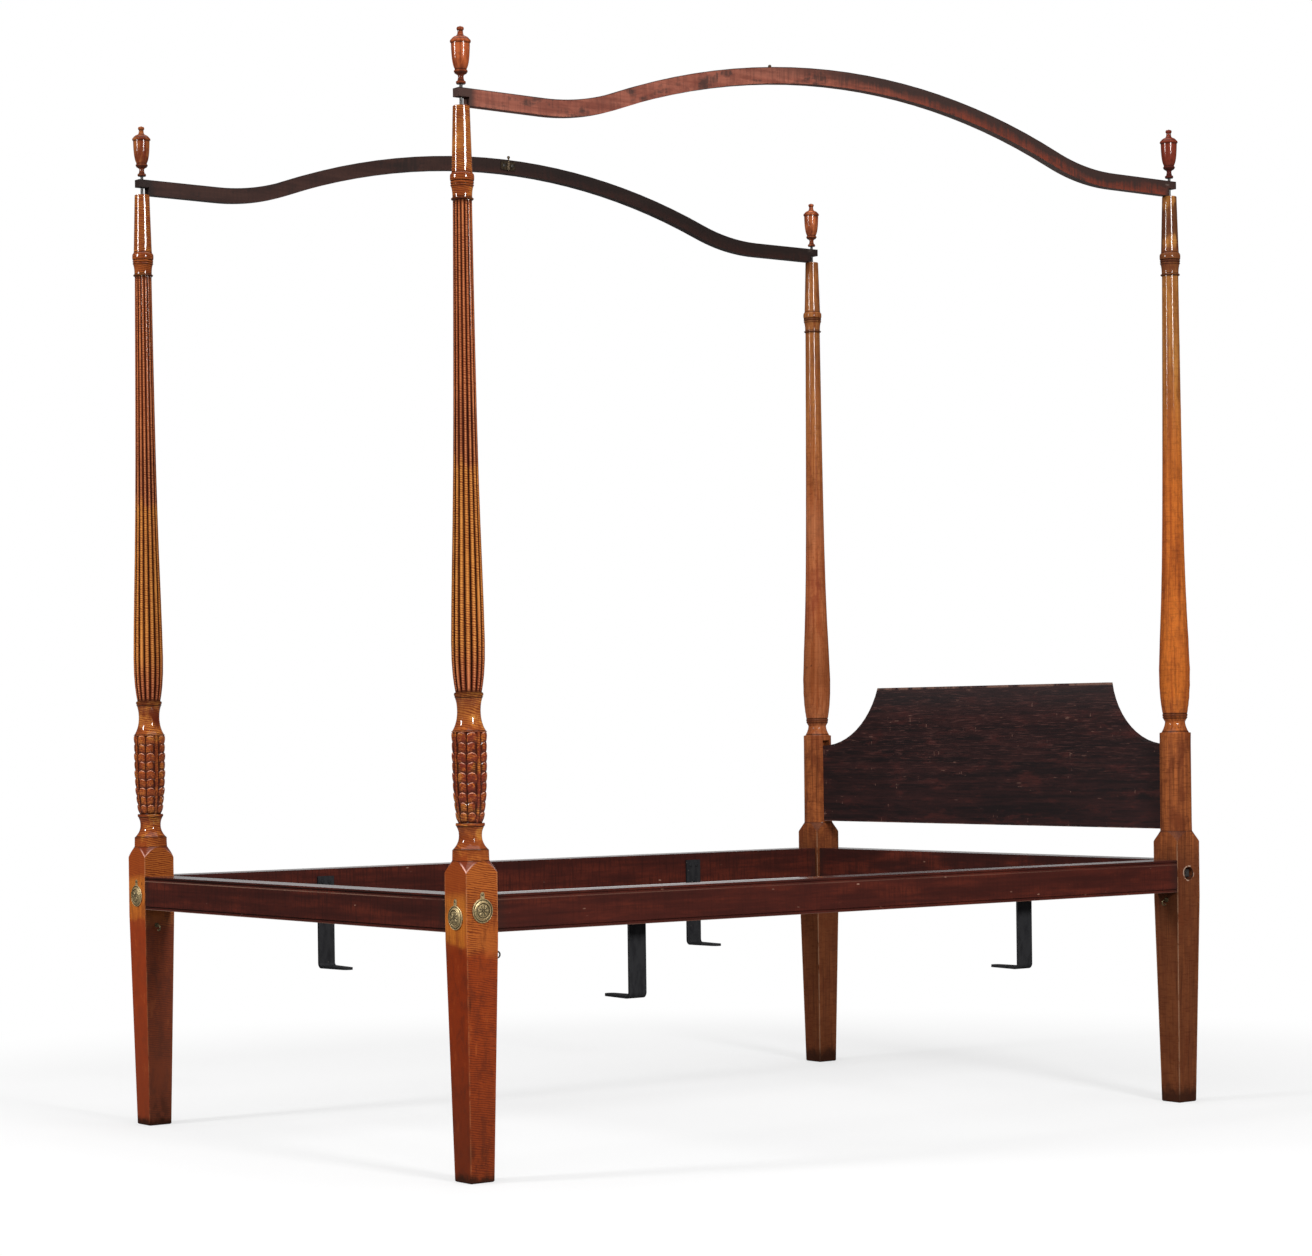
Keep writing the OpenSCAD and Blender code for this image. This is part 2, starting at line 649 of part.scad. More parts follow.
// Tester rails. The arch is a crown arc that turns smoothly into a hollow arc at each flat end.
arc_sum = (arch_half * arch_half + arch_rise * arch_rise) / (2 * arch_rise);
crown_arc_r = arc_sum * crown_share;
hollow_arc_r = arc_sum - crown_arc_r;
arch_angle = asin(arch_half / arc_sum);
arc_steps = 12;
// Half of the upper edge (drop = 0) or of the lower edge (drop = tester_deep), from the middle outwards
crown_arc_z = tester_top + arch_rise - crown_arc_r;
hollow_arc_z = tester_top + hollow_arc_r;
function arch_edge(drop) = concat(
    [for (i = [0:arc_steps]) let (w = arch_angle * i / arc_steps, r = crown_arc_r - drop)
        [r * sin(w), crown_arc_z + r * cos(w)]],
    [for (i = [arc_steps - 1:-1:0]) let (w = arch_angle * i / arc_steps, r = hollow_arc_r + drop)
        [arch_half - r * sin(w), hollow_arc_z - r * cos(w)]]);

module tester_outline() {
    upper = arch_edge(0);
    lower = arch_edge(tester_deep);
    last = len(upper) - 1;
    end = half_along + lap_half;
    step = half_along - lap_half;
    lap_z = tester_top - tester_deep / 2;
    polygon(concat(
        [for (i = [last:-1:1]) [-upper[i][0], upper[i][1]]],
        upper,
        [[end, tester_top], [end, lap_z], [step, lap_z], [step, tester_bottom]],
        [for (i = [last:-1:0]) lower[i]],
        [for (i = [1:last]) [-lower[i][0], lower[i][1]]],
        [[-step, tester_bottom], [-step, lap_z], [-end, lap_z], [-end, tester_top]]));
}

// Height of the arch's upper edge at a place along the bed
function arch_z(y) = abs(y) <= crown_arc_r * sin(arch_angle)
    ? crown_arc_z + sqrt(crown_arc_r * crown_arc_r - y * y)
    : hollow_arc_z - sqrt(max(0, hollow_arc_r * hollow_arc_r - pow(arch_half - abs(y), 2)));

module tester_half(sx, sy, fold_y) {
    span = along + 4 * lap_half;
    difference() {
        translate([sx * half_across, 0, 0]) rotate([90, 0, 90])
            linear_extrude(tester_w, center = true) tester_outline();
        translate([sx * half_across, fold_y - sy * (span / 2 - fold_gap / 2), tester_top])
            cube([tester_w + 2 * past, span, 4 * arch_rise], center = true);
        translate([sx * half_across, sy * half_along, tester_bottom - past])
            cylinder(h = tester_deep + 2 * past, r = pin_d / 2 + loose);
        hinge_screw_place(sx, sy, fold_y) translate([0, 0, -hinge_screw_len])
            cylinder(h = hinge_screw_len + past, r = hinge_screw_d / 2 + run);
    }
}

// Centre hinge of a tester rail: two leaves on its inner face, and an upright pin with a knob
hinge_screw_d = 3.4;
hinge_screw_len = 14;
knuckle_r = hinge_pin_d / 2 + knuckle_wall;
hinge_drop = 4;
knob_up = 5;
hinge_pin_below = 1;
function hinge_z(fold_y) = arch_z(fold_y) - hinge_drop - leaf_h / 2;
module hinge_place(sx, fold_y) {
    translate([sx * (half_across - tester_w / 2 - seat), fold_y, hinge_z(fold_y)]) children();
}

// The screw's axis points out of the rail's inner face
module hinge_screw_place(sx, sy, fold_y) {
    hinge_place(sx, fold_y) translate([-sx * leaf_t, sy * (knuckle_r + leaf_len) / 2, 0])
        rotate([0, -sx * 90, 0]) children();
}

knuckle_h = leaf_h / 3;
module hinge_leaf(sx, sy, fold_y) {
    // The foot leaf has the two outer knuckles, the head leaf the middle one
    mine = sy < 0 ? [-knuckle_h, knuckle_h] : [0];
    theirs = sy < 0 ? [0] : [-knuckle_h, knuckle_h];
    difference() {
        hinge_place(sx, fold_y) difference() {
            union() {
                translate([-sx * leaf_t / 2, sy * (leaf_len / 2 + fold_gap), 0])
                    cube([leaf_t, leaf_len, leaf_h], center = true);
                for (z = mine) translate([-sx * knuckle_r, 0, z])
                    cylinder(h = knuckle_h - seat, r = knuckle_r, center = true);
                for (z = mine) translate([-sx * leaf_t / 2, sy * knuckle_r / 2, z])
                    cube([leaf_t, knuckle_r, knuckle_h - seat], center = true);
            }
            translate([-sx * knuckle_r, 0, 0])
                cylinder(h = leaf_h + 2 * past, r = hinge_pin_d / 2 + run, center = true);
            for (z = theirs) translate([-sx * knuckle_r, 0, z])
                cylinder(h = knuckle_h + seat, r = knuckle_r + seat, center = true);
        }
        hinge_screw_place(sx, sy, fold_y)
            translate([0, 0, -leaf_t - past]) cylinder(h = leaf_t + 2 * past, r = hinge_screw_d / 2 + run);
    }
}

module hinge_pin(sx, fold_y) {
    up = leaf_h / 2 + hinge_drop + knob_up;
    hinge_place(sx, fold_y) translate([-sx * knuckle_r, 0, 0]) union() {
        translate([0, 0, -leaf_h / 2 - hinge_pin_below])
            cylinder(h = up + leaf_h / 2 + hinge_pin_below, d = hinge_pin_d);
        translate([0, 0, up]) sphere(d = hinge_knob_d);
    }
}

module hinge_screws(sx, fold_y) {
    for (sy = [-1, 1]) hinge_screw_place(sx, sy, fold_y)
        screw(hinge_screw_d, hinge_screw_head_d, hinge_screw_len);
}

// A plain screw: the head sits on z = 0 with its shank below, and a slot across the head. The
// head's sizes are shares of its diameter.
screw_head_share = 0.22;
screw_slot_share = 0.14;
screw_crown_share = 0.2;
screw_rim_share = 0.07;
module screw(shank_d, head_d, length) {
    head_h = head_d * screw_head_share;
    slot_w = head_d * screw_slot_share;
    difference() {
        union() {
            translate([0, 0, -length + past]) cylinder(h = length - past + head_h / 2, d = shank_d);
            translate([0, 0, seat / 2]) rotate_extrude() polygon(concat(
                [[0, 0], [head_d / 2, 0]],
                round_out([head_d / 2, head_d * screw_rim_share],
                    [head_d * screw_crown_share, head_h], 4, false),
                [[0, head_h]]));
        }
        translate([0, 0, head_h + seat / 2]) cube([head_d + past, slot_w, head_h], center = true);
    }
}

// Urn finial with a lid, bored from below for its pin. From below it has a foot ring, a throat, a
// saucer, the urn, the lid's rim and low dome, a waisted stem, a knob and its nub.
foot_ring_r = 9.4;
foot_ring_h = 5.5;
throat_r = 5.3;
throat_z = [10, 14.5];
saucer_r = 13.3;
saucer_z = 22;
saucer_h = 4;
urn_foot_z = 29.5;
urn_foot_r = 11.8;
lid_below = 32;
lid_rim_h = 6;
dome_h = 7;
dome_r = 8.8;
stem_r = 5.2;
stem_low = 20.5;
stem_high = 22.5;
knob_r = 7;
knob_h = 8;
nub_r = 2;
// The urn's two middle points: shares of its widening and of its height
urn_pull = [[0.55, 0.13], [0.92, 0.4]];
module finial(sx, sy) {
    urn_r = urn_d / 2;
    lid_r = lid_d / 2;
    lid_z = finial_h - lid_below;
    rim_top = lid_z + lid_rim_h;
    dome_top = rim_top + dome_h;
    knob_z = lid_z + stem_high;
    function urn_point(p) = [mix(urn_foot_r, urn_r, p[0]), mix(urn_foot_z, lid_z - 2 * fillet, p[1])];
    outline = concat(
        [[0, 0], [foot_ring_r - 2 * fillet, 0]],
        bead(foot_ring_r - fillet, 0, foot_ring_h, fillet, 4),
        bezier([foot_ring_r - 3 * fillet, foot_ring_h + fillet], [throat_r + fillet, throat_z[0] - fillet],
            [throat_r, throat_z[0]], [throat_r, throat_z[1]], 4),
        after_first(bezier([throat_r, throat_z[1]], [throat_r, throat_z[1] + 3 * fillet],
            [throat_r + 3 * fillet, saucer_z - 4 * fillet],
            [saucer_r - 2 * fillet, saucer_z - 2 * fillet], 4)),
        bead(saucer_r - fillet, saucer_z, saucer_z + saucer_h, fillet, 4),
        [[saucer_r - 2 * fillet, saucer_z + saucer_h + fillet]],
        bezier(urn_point([0, 0]), urn_point(urn_pull[0]), urn_point(urn_pull[1]), urn_point([1, 1]), 9),
        [[lid_r - 2 * fillet, lid_z], [lid_r - fillet / 2, lid_z + fillet]],
        bezier([lid_r, lid_z + 2 * fillet], [lid_r, rim_top - fillet], [lid_r - fillet, rim_top],
            [lid_r - 2 * fillet, rim_top], 3),
        after_first(bezier([lid_r - 2 * fillet, rim_top], [lid_r - 4 * fillet, rim_top + dome_h / 2],
            [dome_r + 4 * fillet, dome_top - fillet], [dome_r, dome_top], 6)),
        [[dome_r - fillet, dome_top + fillet]],
        bezier([dome_r - 2 * fillet, dome_top + fillet], [stem_r, lid_z + stem_low - 2 * fillet],
            [stem_r, lid_z + stem_low], [stem_r, knob_z], 4),
        bead(stem_r - fillet / 2, knob_z + fillet, knob_z + knob_h, knob_r - stem_r + fillet / 2, 8),
        [[nub_r, knob_z + knob_h], [nub_r, finial_h - fillet], [nub_r - fillet, finial_h], [0, finial_h]]);
    translate([sx * half_across, sy * half_along, finial_z]) difference() {
        rotate_extrude() polygon(outline);
        translate([0, 0, -past]) cylinder(h = past + pin_in_finial + rest_gap, r = pin_d / 2 + run);
    }
}

module pins() {
    for (c = corners) translate([c[0] * half_across, c[1] * half_along, post_top - pin_in_post + seat])
        cylinder(h = pin_top - post_top + pin_in_post - seat, d = pin_d);
}

// Stamped brass bolt cover, hanging by an ear from a pin. Local Z points away from the post, Y up;
// the origin is the cover's centre on the post's face.
ear_w = 9;
ear_hole_r = cover_pin_d / 2 + run;
// Distances in from the cover's edge: the rim's inner foot, the valley, the raised ring and the dish
rim_in = 2;
valley_in = [3.4, 5];
ring_in = [6, 7.6, 8.6];
dish_in = [10, 12];
dish_drop = 1.3;
edge_in = 0.6;
hollow_in = [9, 6.4, 5.2];
hollow_drop = 0.9;
// How far the valley and the foot of the raised ring have risen towards the dome
valley_rise = [0.25, 0.4];
ring_rise = 0.55;
module cover_face(sx, side, z) {
    // side = true for the outer side face, false for the foot face
    translate([sx * (half_across + (side ? half_block : 0)), -half_along - (side ? 0 : half_block), z])
        rotate([90, 0, side ? sx * 90 : 0]) children();
}

module cover(sx, side) {
    r = cover_d / 2;
    z = side ? bolt_z_end : bolt_z_side;
    inner = cover_dome - cover_sheet;
    cover_face(sx, side, z) translate([0, 0, rest_gap]) difference() {
        union() {
            rotate_extrude() polygon(concat(
                // Outside: rim bead, a second raised ring, and the dished middle
                [[r - rim_in, 0], [r - edge_in, 0], [r, cover_sheet / 2]],
                round_out([r, cover_sheet], [r - rim_in, 2 * cover_sheet], 3, false),
                [for (i = [0, 1]) [r - valley_in[i], mix(cover_sheet, inner, valley_rise[i])]],
                bezier([r - ring_in[0], mix(cover_sheet, inner, ring_rise)], [r - ring_in[1], cover_dome],
                    [r - ring_in[1], cover_dome], [r - ring_in[2], cover_dome - edge_in], 5),
                [for (d = dish_in) [r - d, cover_dome - dish_drop]],
                [[0, cover_dome - edge_in]],
                // Inside: the hollow over the bolt head
                [[0, inner - edge_in], [r - hollow_in[0], inner - hollow_drop],
                    [r - hollow_in[1], cover_sheet - edge_in / 2], [r - hollow_in[2], 0]]));
            translate([0, (r - bite + cover_ear_up) / 2, cover_sheet / 2])
                cube([ear_w, cover_ear_up - r + bite, cover_sheet], center = true);
            translate([0, cover_ear_up, 0]) cylinder(h = cover_sheet, d = ear_w);
        }
        translate([0, cover_ear_up, -past]) cylinder(h = cover_sheet + 2 * past, r = ear_hole_r);
    }
}

cover_pin_head_share = 0.3;
module cover_pin(sx, side) {
    head_z = rest_gap + cover_sheet + rest_gap;
    head_h = cover_pin_head_d * cover_pin_head_share;
    cover_face(sx, side, side ? bolt_z_end : bolt_z_side) translate([0, cover_ear_up, 0]) union() {
        translate([0, 0, -cover_pin_deep + seat])
            cylinder(h = cover_pin_deep - seat + head_z + head_h / 2, d = cover_pin_d);
        translate([0, 0, head_z]) rotate_extrude()
            polygon(concat([[0, 0]], round_out([cover_pin_head_d / 2, 0], [0, head_h], 5, false)));
    }
}

// Bolt and nut. Local Z runs from the bolt's head towards the bed's middle; the origin is the well's floor.
module bolt() {
    union() {
        translate([0, 0, -bolt_head_h]) translate([-bolt_head_w / 2, -bolt_head_w / 2, 0])
            cube([bolt_head_w, bolt_head_w, bolt_head_h - seat]);
        translate([0, 0, -bolt_head_h / 2]) cylinder(h = bolt_len + bolt_head_h / 2, d = bolt_d);
    }
}

module bolt_places() {
    for (c = corners) {
        translate([c[0] * half_across, c[1] * (half_along + half_block - well_depth), bolt_z_side])
            rotate([c[1] * 90, 0, 0]) children();
        translate([c[0] * (half_across + half_block - well_depth), c[1] * half_along, bolt_z_end])
            rotate([0, -c[0] * 90, 0]) children();
    }
}

module nut() {
    middle = block_w - well_depth + nut_in;
    translate([0, 0, middle]) difference() {
        cube([nut_w, nut_w, nut_t], center = true);
        cylinder(h = nut_t + 2 * past, r = bolt_d / 2 + run, center = true);
    }
}

// Angle irons under the side rails, which carry the mattress frame. Local X points into the bed,
// with the rail's inner face at x = 0.
iron_screw_len = 30;
iron_screw_drop = 13;
iron_screw_apart = 18;
iron_low_screw_drop = 52;
module iron_place(sx, y) {
    translate([sx * (half_across + half_block - rail_thick - seat), y, 0])
        rotate([0, 0, sx > 0 ? 180 : 0]) children();
}

module iron_screw_places(sx, y) {
    upper = [for (s = [-1, 1]) [s * iron_screw_apart / 2, iron_screw_drop]];
    iron_place(sx, y) for (p = concat(upper, [[0, iron_low_screw_drop]]))
        translate([iron_t, p[0], iron_top - p[1]]) rotate([0, 90, 0]) children();
}

module iron(sx, y) {
    inner_r = iron_bend - iron_t;
    tip_r = iron_tip_w / 2;
    difference() {
        iron_place(sx, y) union() {
            translate([0, -iron_w / 2, iron_bottom + iron_bend])
                cube([iron_t, iron_w, iron_top - iron_bottom - iron_bend]);
            translate([iron_bend, 0, iron_bottom + iron_bend]) rotate([90, 0, 0]) intersection() {
                difference() {
                    cylinder(h = iron_w, r = iron_bend, center = true);
                    cylinder(h = iron_w + past, r = inner_r, center = true);
                }
                translate([-iron_bend, -iron_bend, -iron_w]) cube([iron_bend, iron_bend, 2 * iron_w]);
            }
            translate([0, 0, iron_bottom]) linear_extrude(iron_t) union() {
                polygon([[iron_bend, -iron_w / 2], [iron_reach - tip_r, -tip_r],
                    [iron_reach - tip_r, tip_r], [iron_bend, iron_w / 2]]);
                translate([iron_reach - tip_r, 0]) circle(r = tip_r);
            }
        }
        iron_screw_places(sx, y)
            translate([0, 0, -iron_t - past]) cylinder(h = iron_t + 2 * past, r = iron_screw_d / 2 + run);
    }
}

// Small brass hooks screwed into the legs. Each is [post, way it points, shift from the face's middle
// line along X, Y and Z].
hooks = [
    [[1, -1], [0, 1], [20, 0, -3]],
    [[-1, -1], [1, 0], [0, -8, 0]],
    [[1, 1], [0, -1], [3, 0, 17]]];
hook_screw_len = 12;
hook_stem = 9;
hook_rose_t = 1.6;
hook_sweep = 230;
// How far the tapering leg has drawn in at a height, so that the rose meets the wood
function leg_inset(z) = (half_block - foot_w / 2) * max(0, taper_top - z) / (taper_top - foot_wear);

module hook_place(way, shift) {
    z = hook_z + shift[2];
    out = half_block - leg_inset(z);
    translate([way[0] * out + shift[0], way[1] * out + shift[1], z])
        rotate([0, 0, way[0] != 0 ? 90 - way[0] * 90 : way[1] * 90]) children();
}

module hook_holes(sx, sy) {
    for (k = hooks) if (k[0] == [sx, sy]) hook_place(k[1], k[2]) rotate([0, -90, 0])
        cylinder(h = 2 * (hook_screw_len + seat), r = hook_wire_d / 2 + run, center = true);
}

module hook() {
    translate([rest_gap, 0, 0]) union() {
        rotate([0, 90, 0]) cylinder(h = hook_rose_t, d = hook_rose_d);
        translate([-hook_screw_len, 0, 0]) rotate([0, 90, 0])
            cylinder(h = hook_screw_len + hook_stem, d = hook_wire_d);
        translate([hook_stem, 0, -hook_r]) rotate([90, 0, 0]) rotate([0, 0, 90])
            rotate_extrude(angle = -hook_sweep) translate([hook_r, 0]) circle(d = hook_wire_d);
    }
}

// The nodes
module foot_post_right() { color("peru") foot_post(1, -1); }
module foot_post_left() { color("peru") foot_post(-1, -1); }
module head_post_right() { color("sienna") head_post(1, 1); }
module head_post_left() { color("sienna") head_post(-1, 1); }
module side_rail_right() { color([0.33, 0.11, 0.08]) side_rail(1, [iron_right_foot_y, iron_right_head_y]); }
module side_rail_left() { color([0.28, 0.1, 0.08]) side_rail(-1, [iron_left_foot_y, iron_left_head_y]); }
module foot_rail() { color([0.33, 0.12, 0.09]) end_rail(-1); }
module head_rail() { color([0.2, 0.1, 0.09]) end_rail(1); }

module headboard() {
    color([0.16, 0.09, 0.08]) translate([0, half_along, 0]) rotate([90, 0, 0])
        linear_extrude(board_t, center = true) board_outline();
}

module tester_right_foot_half() { color([0.5, 0.25, 0.18]) tester_half(1, -1, fold_right_y); }
module tester_right_head_half() { color([0.42, 0.2, 0.15]) tester_half(1, 1, fold_right_y); }
module tester_left_foot_half() { color([0.2, 0.14, 0.13]) tester_half(-1, -1, fold_left_y); }
module tester_left_head_half() { color([0.2, 0.14, 0.13]) tester_half(-1, 1, fold_left_y); }
module hinge_right_foot_leaf() { color("darkgoldenrod") hinge_leaf(1, -1, fold_right_y); }
module hinge_right_head_leaf() { color("darkgoldenrod") hinge_leaf(1, 1, fold_right_y); }
module hinge_right_pin() { color("darkgoldenrod") hinge_pin(1, fold_right_y); }
module hinge_right_screws() { color([0.25, 0.22, 0.18]) hinge_screws(1, fold_right_y); }
module hinge_left_foot_leaf() { color("darkgoldenrod") hinge_leaf(-1, -1, fold_left_y); }
module hinge_left_head_leaf() { color("darkgoldenrod") hinge_leaf(-1, 1, fold_left_y); }
module hinge_left_pin() { color("darkgoldenrod") hinge_pin(-1, fold_left_y); }
module hinge_left_screws() { color([0.25, 0.22, 0.18]) hinge_screws(-1, fold_left_y); }
module finial_foot_right() { color([0.6, 0.28, 0.14]) finial(1, -1); }
module finial_foot_left() { color([0.45, 0.22, 0.15]) finial(-1, -1); }
module finial_head_right() { color([0.5, 0.2, 0.13]) finial(1, 1); }
module finial_head_left() { color([0.5, 0.22, 0.13]) finial(-1, 1); }
module post_pins() { color([0.35, 0.35, 0.36]) pins(); }
module cover_right_foot_face() { color([0.6, 0.54, 0.38]) cover(1, false); }
module cover_right_side_face() { color([0.6, 0.54, 0.38]) cover(1, true); }
module cover_left_foot_face() { color([0.6, 0.54, 0.38]) cover(-1, false); }
module cover_left_side_face() { color([0.6, 0.54, 0.38]) cover(-1, true); }

module cover_pins() {
    color([0.35, 0.3, 0.2]) for (sx = [-1, 1]) for (side = [false, true]) cover_pin(sx, side);
}

module bed_bolts() { color([0.3, 0.29, 0.28]) bolt_places() bolt(); }
module bed_nuts() { color([0.3, 0.29, 0.28]) bolt_places() nut(); }
module iron_right_foot() { color([0.15, 0.15, 0.16]) iron(1, iron_right_foot_y); }
module iron_right_head() { color([0.15, 0.15, 0.16]) iron(1, iron_right_head_y); }
module iron_left_foot() { color([0.15, 0.15, 0.16]) iron(-1, iron_left_foot_y); }
module iron_left_head() { color([0.15, 0.15, 0.16]) iron(-1, iron_left_head_y); }

module iron_screws() {
    color([0.2, 0.2, 0.2]) for (p = [[1, iron_right_foot_y], [1, iron_right_head_y],
            [-1, iron_left_foot_y], [-1, iron_left_head_y]])
        iron_screw_places(p[0], p[1]) screw(iron_screw_d, iron_screw_head_d, iron_screw_len);
}

module post_hooks() {
    color([0.55, 0.48, 0.3]) for (k = hooks)
        translate([k[0][0] * half_across, k[0][1] * half_along, 0]) hook_place(k[1], k[2]) hook();
}

foot_post_right();
foot_post_left();
head_post_right();
head_post_left();
side_rail_right();
side_rail_left();
foot_rail();
head_rail();
headboard();
tester_right_foot_half();
tester_right_head_half();
tester_left_foot_half();
tester_left_head_half();
hinge_right_foot_leaf();
hinge_right_head_leaf();
hinge_right_pin();
hinge_right_screws();
hinge_left_foot_leaf();
hinge_left_head_leaf();
hinge_left_pin();
hinge_left_screws();
finial_foot_right();
finial_foot_left();
finial_head_right();
finial_head_left();
post_pins();
cover_right_foot_face();
cover_right_side_face();
cover_left_foot_face();
cover_left_side_face();
cover_pins();
bed_bolts();
bed_nuts();
iron_right_foot();
iron_right_head();
iron_left_foot();
iron_left_head();
iron_screws();
post_hooks();
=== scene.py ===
# Looks of a tall-post tester bed: varnished curly maple posts, dark stained rails and headboard,
# red-brown tester rails, brass bolt covers and black irons, on a white studio floor.
import math

import bpy
from mathutils import Matrix, Vector

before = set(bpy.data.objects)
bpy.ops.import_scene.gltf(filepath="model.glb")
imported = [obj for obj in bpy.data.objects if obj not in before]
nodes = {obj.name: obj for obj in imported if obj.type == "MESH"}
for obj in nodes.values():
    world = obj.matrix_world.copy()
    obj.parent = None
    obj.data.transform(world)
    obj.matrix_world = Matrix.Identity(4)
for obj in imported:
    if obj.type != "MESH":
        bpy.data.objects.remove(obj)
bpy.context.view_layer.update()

# Foot posts: figured maple under a glossy amber varnish, turned, reeded and leaf-carved. The curl
# runs in bars across the posts, the grain along them, and painted shade darkens every recess.


class Val:
    """One output of a shader node. Arithmetic on it adds Math nodes to the same material."""

    def __init__(self, shader, out):
        self.shader, self.out = shader, out

    def math(self, operation, *others):
        return self.shader.node("Math", {"operation": operation}, [self, *others])

    def __add__(self, other):
        return self.math("ADD", other)

    __radd__ = __add__

    def __sub__(self, other):
        return self.math("SUBTRACT", other)

    def __rsub__(self, other):
        return (self * -1) + other

    def __mul__(self, other):
        return self.math("MULTIPLY", other)

    __rmul__ = __mul__

    def __truediv__(self, other):
        return self.math("DIVIDE", other)

    def __pow__(self, other):
        return self.math("POWER", other)

    def __abs__(self):
        return self.math("ABSOLUTE")

    def least(self, other):
        return self.math("MINIMUM", other)

    def most(self, other):
        return self.math("MAXIMUM", other)

    def step(self, low, high):
        """0 below low, 1 above high, smooth between them; falls instead when low is above high."""
        settings = {"interpolation_type": "SMOOTHSTEP"}
        if low > high:
            return 1 - self.shader.node("MapRange", settings, [self, high, low])
        return self.shader.node("MapRange", settings, [self, low, high])

    def line(self, place, width):
        """1 on a line at place, falling to 0 at width to either side."""
        return abs(self - place).step(width, 0)

    def lines(self, *places):
        """1 on each of several lines, given as pairs of place and width."""
        found = self.line(*places[0])
        for place, width in places[1:]:
            found = found.most(self.line(place, width))
        return found


class Shader:
    """The nodes of a material or world. Expressions are made of Val, and colours meet in mix()."""

    def __init__(self, name, group=None, coordinates="Object"):
        self.material = (bpy.data.materials if group is None else group).new(name)
        self.material.use_nodes = True
        self.tree = self.material.node_tree
        self.bsdf = self.tree.nodes.get("Principled BSDF")
        place = self.node("TexCoord", {}, [], coordinates)
        self.x, self.y, self.z = [self.node("SeparateXYZ", {}, [place], axis) for axis in "XYZ"]

    def node(self, kind, settings, inputs, out=0):
        made = self.tree.nodes.new("ShaderNode" + kind)
        for key, value in settings.items():
            setattr(made, key, value)
        for socket, value in inputs.items() if isinstance(inputs, dict) else enumerate(inputs):
            self.put(made.inputs[socket], value)
        return Val(self, made.outputs[out])

    def put(self, socket, value):
        if isinstance(value, Val):
            self.tree.links.new(value.out, socket)
        elif isinstance(value, tuple) and socket.type == "RGBA":
            socket.default_value = (*value, 1)
        else:
            socket.default_value = value

    def mix(self, share, first, second):
        return self.node("Mix", {"data_type": "RGBA"}, {0: share, 6: first, 7: second}, 2)

    def coats(self, wood, *layers):
        """Lays colours over the wood one after another; each layer is a share and its colour."""
        for share, color in layers:
            wood = self.mix(share, wood, color)
        return wood

    def noise(self, x, y, z, detail=3, rough=0.55, warp=0):
        """Noise from 0 to 1; detail, rough and warp say how fine, how harsh and how bent it is."""
        point = self.node("CombineXYZ", {}, [x, y, z])
        return self.node("TexNoise", {}, {"Vector": point, "Scale": 1, "Detail": detail,
                                          "Roughness": rough, "Distortion": warp})

    def figure(self, across, along, detail=3, rough=0.55, warp=0):
        """Noise with so many grains per metre across the wood, and so many along Z."""
        return self.noise(self.x * across, self.y * across, self.z * along, detail, rough, warp)

    def cells(self, x, y, z):
        """Distance to the nearest of scattered points, for dents, chips and scratches."""
        point = self.node("CombineXYZ", {}, [x, y, z])
        return self.node("TexVoronoi", {}, {"Vector": point, "Scale": 1})

    def upward(self):
        """How far the surface faces up: 1 on a level top, -1 on an underside."""
        return self.node("SeparateXYZ", {}, [self.node("TexCoord", {}, [], "Normal")], "Z")

    def finish(self, color, rough, height, depth, **others):
        """Sets the surface; the relief is height times depth in metres."""
        bump = self.node("Bump", {}, {"Strength": 1, "Distance": depth, "Height": height})
        sockets = {"Base Color": color, "Roughness": rough, "Normal": bump}
        sockets.update((key.replace("_", " "), value) for key, value in others.items())
        for key, value in sockets.items():
            self.put(self.bsdf.inputs[key], value)
        return self.material


def paint(material, *names):
    for name in names:
        data = nodes[name].data
        data.materials.clear()
        data.materials.append(material)


# Where the posts stand, and the heights at which their parts begin and end
POST_X, POST_Y = 0.62, 0.968
LEG_TOP = 0.5
SHOULDER_Z, SHOULDER_TOP = 0.6, 0.64
VASE_Z, VASE_TOP = 0.683, 0.858
COVE_Z = 0.89
SHAFT_Z, SHAFT_TOP = 0.931, 1.865
CROWN_Z, NECK_Z = 1.9, 1.915
POST_TOP = 2.0
# Half width of a post's block, the height where the leg starts to taper, and the taper per metre
BLOCK_HALF, TAPER_Z, LEG_TAPER = 0.036, 0.462, 0.0196
# The reeds round a shaft, the vase's ground radius at its top, and how much that shrinks below
REEDS = 16
VASE_RADIUS, VASE_SHRINK = 0.03425, 0.00875
# Where the golden varnish starts and stops, the amber patch behind a cover, and the belly's foot
GOLD_Z, GOLD_TOP = 0.53, 1.46
PATCH_Z, PATCH_TOP = 0.475, 0.575
BELLY_FOOT = 0.945
# The curl's bars, in radians per metre of height, and the place of the crack in the right leg
CURL_BARS = 1420
CRACK_Y, CRACK_Z = 0.0287, 0.337
# Height and half width of each groove darkened with painted shade, below and above the shaft
BLOCK_GROOVES = ((0.6115, 0.0015),)
VASE_GROOVES = ((0.633, 0.003), (0.6765, 0.0025), (0.6835, 0.003), (0.8585, 0.002), (0.9215, 0.003))
CROWN_GROOVES = ((1.8705, 0.002), (1.891, 0.0015), (1.8951, 0.0014), (1.9012, 0.0016),
                 (1.9175, 0.002))


def worn_corner(s, dx, dy, scuffs, whole):
    """1 on the worn upright corners of a block and its leg, broken up by the scuffs."""
    half = BLOCK_HALF - (TAPER_Z - s.z).most(0) * LEG_TAPER
    outward = abs(dx) + abs(dy) - half * 2
    on_block = s.z.step(SHOULDER_Z + 0.02, SHOULDER_Z)
    return outward.step(-0.0028, -0.0008) * on_block * scuffs.step(0.35, whole)


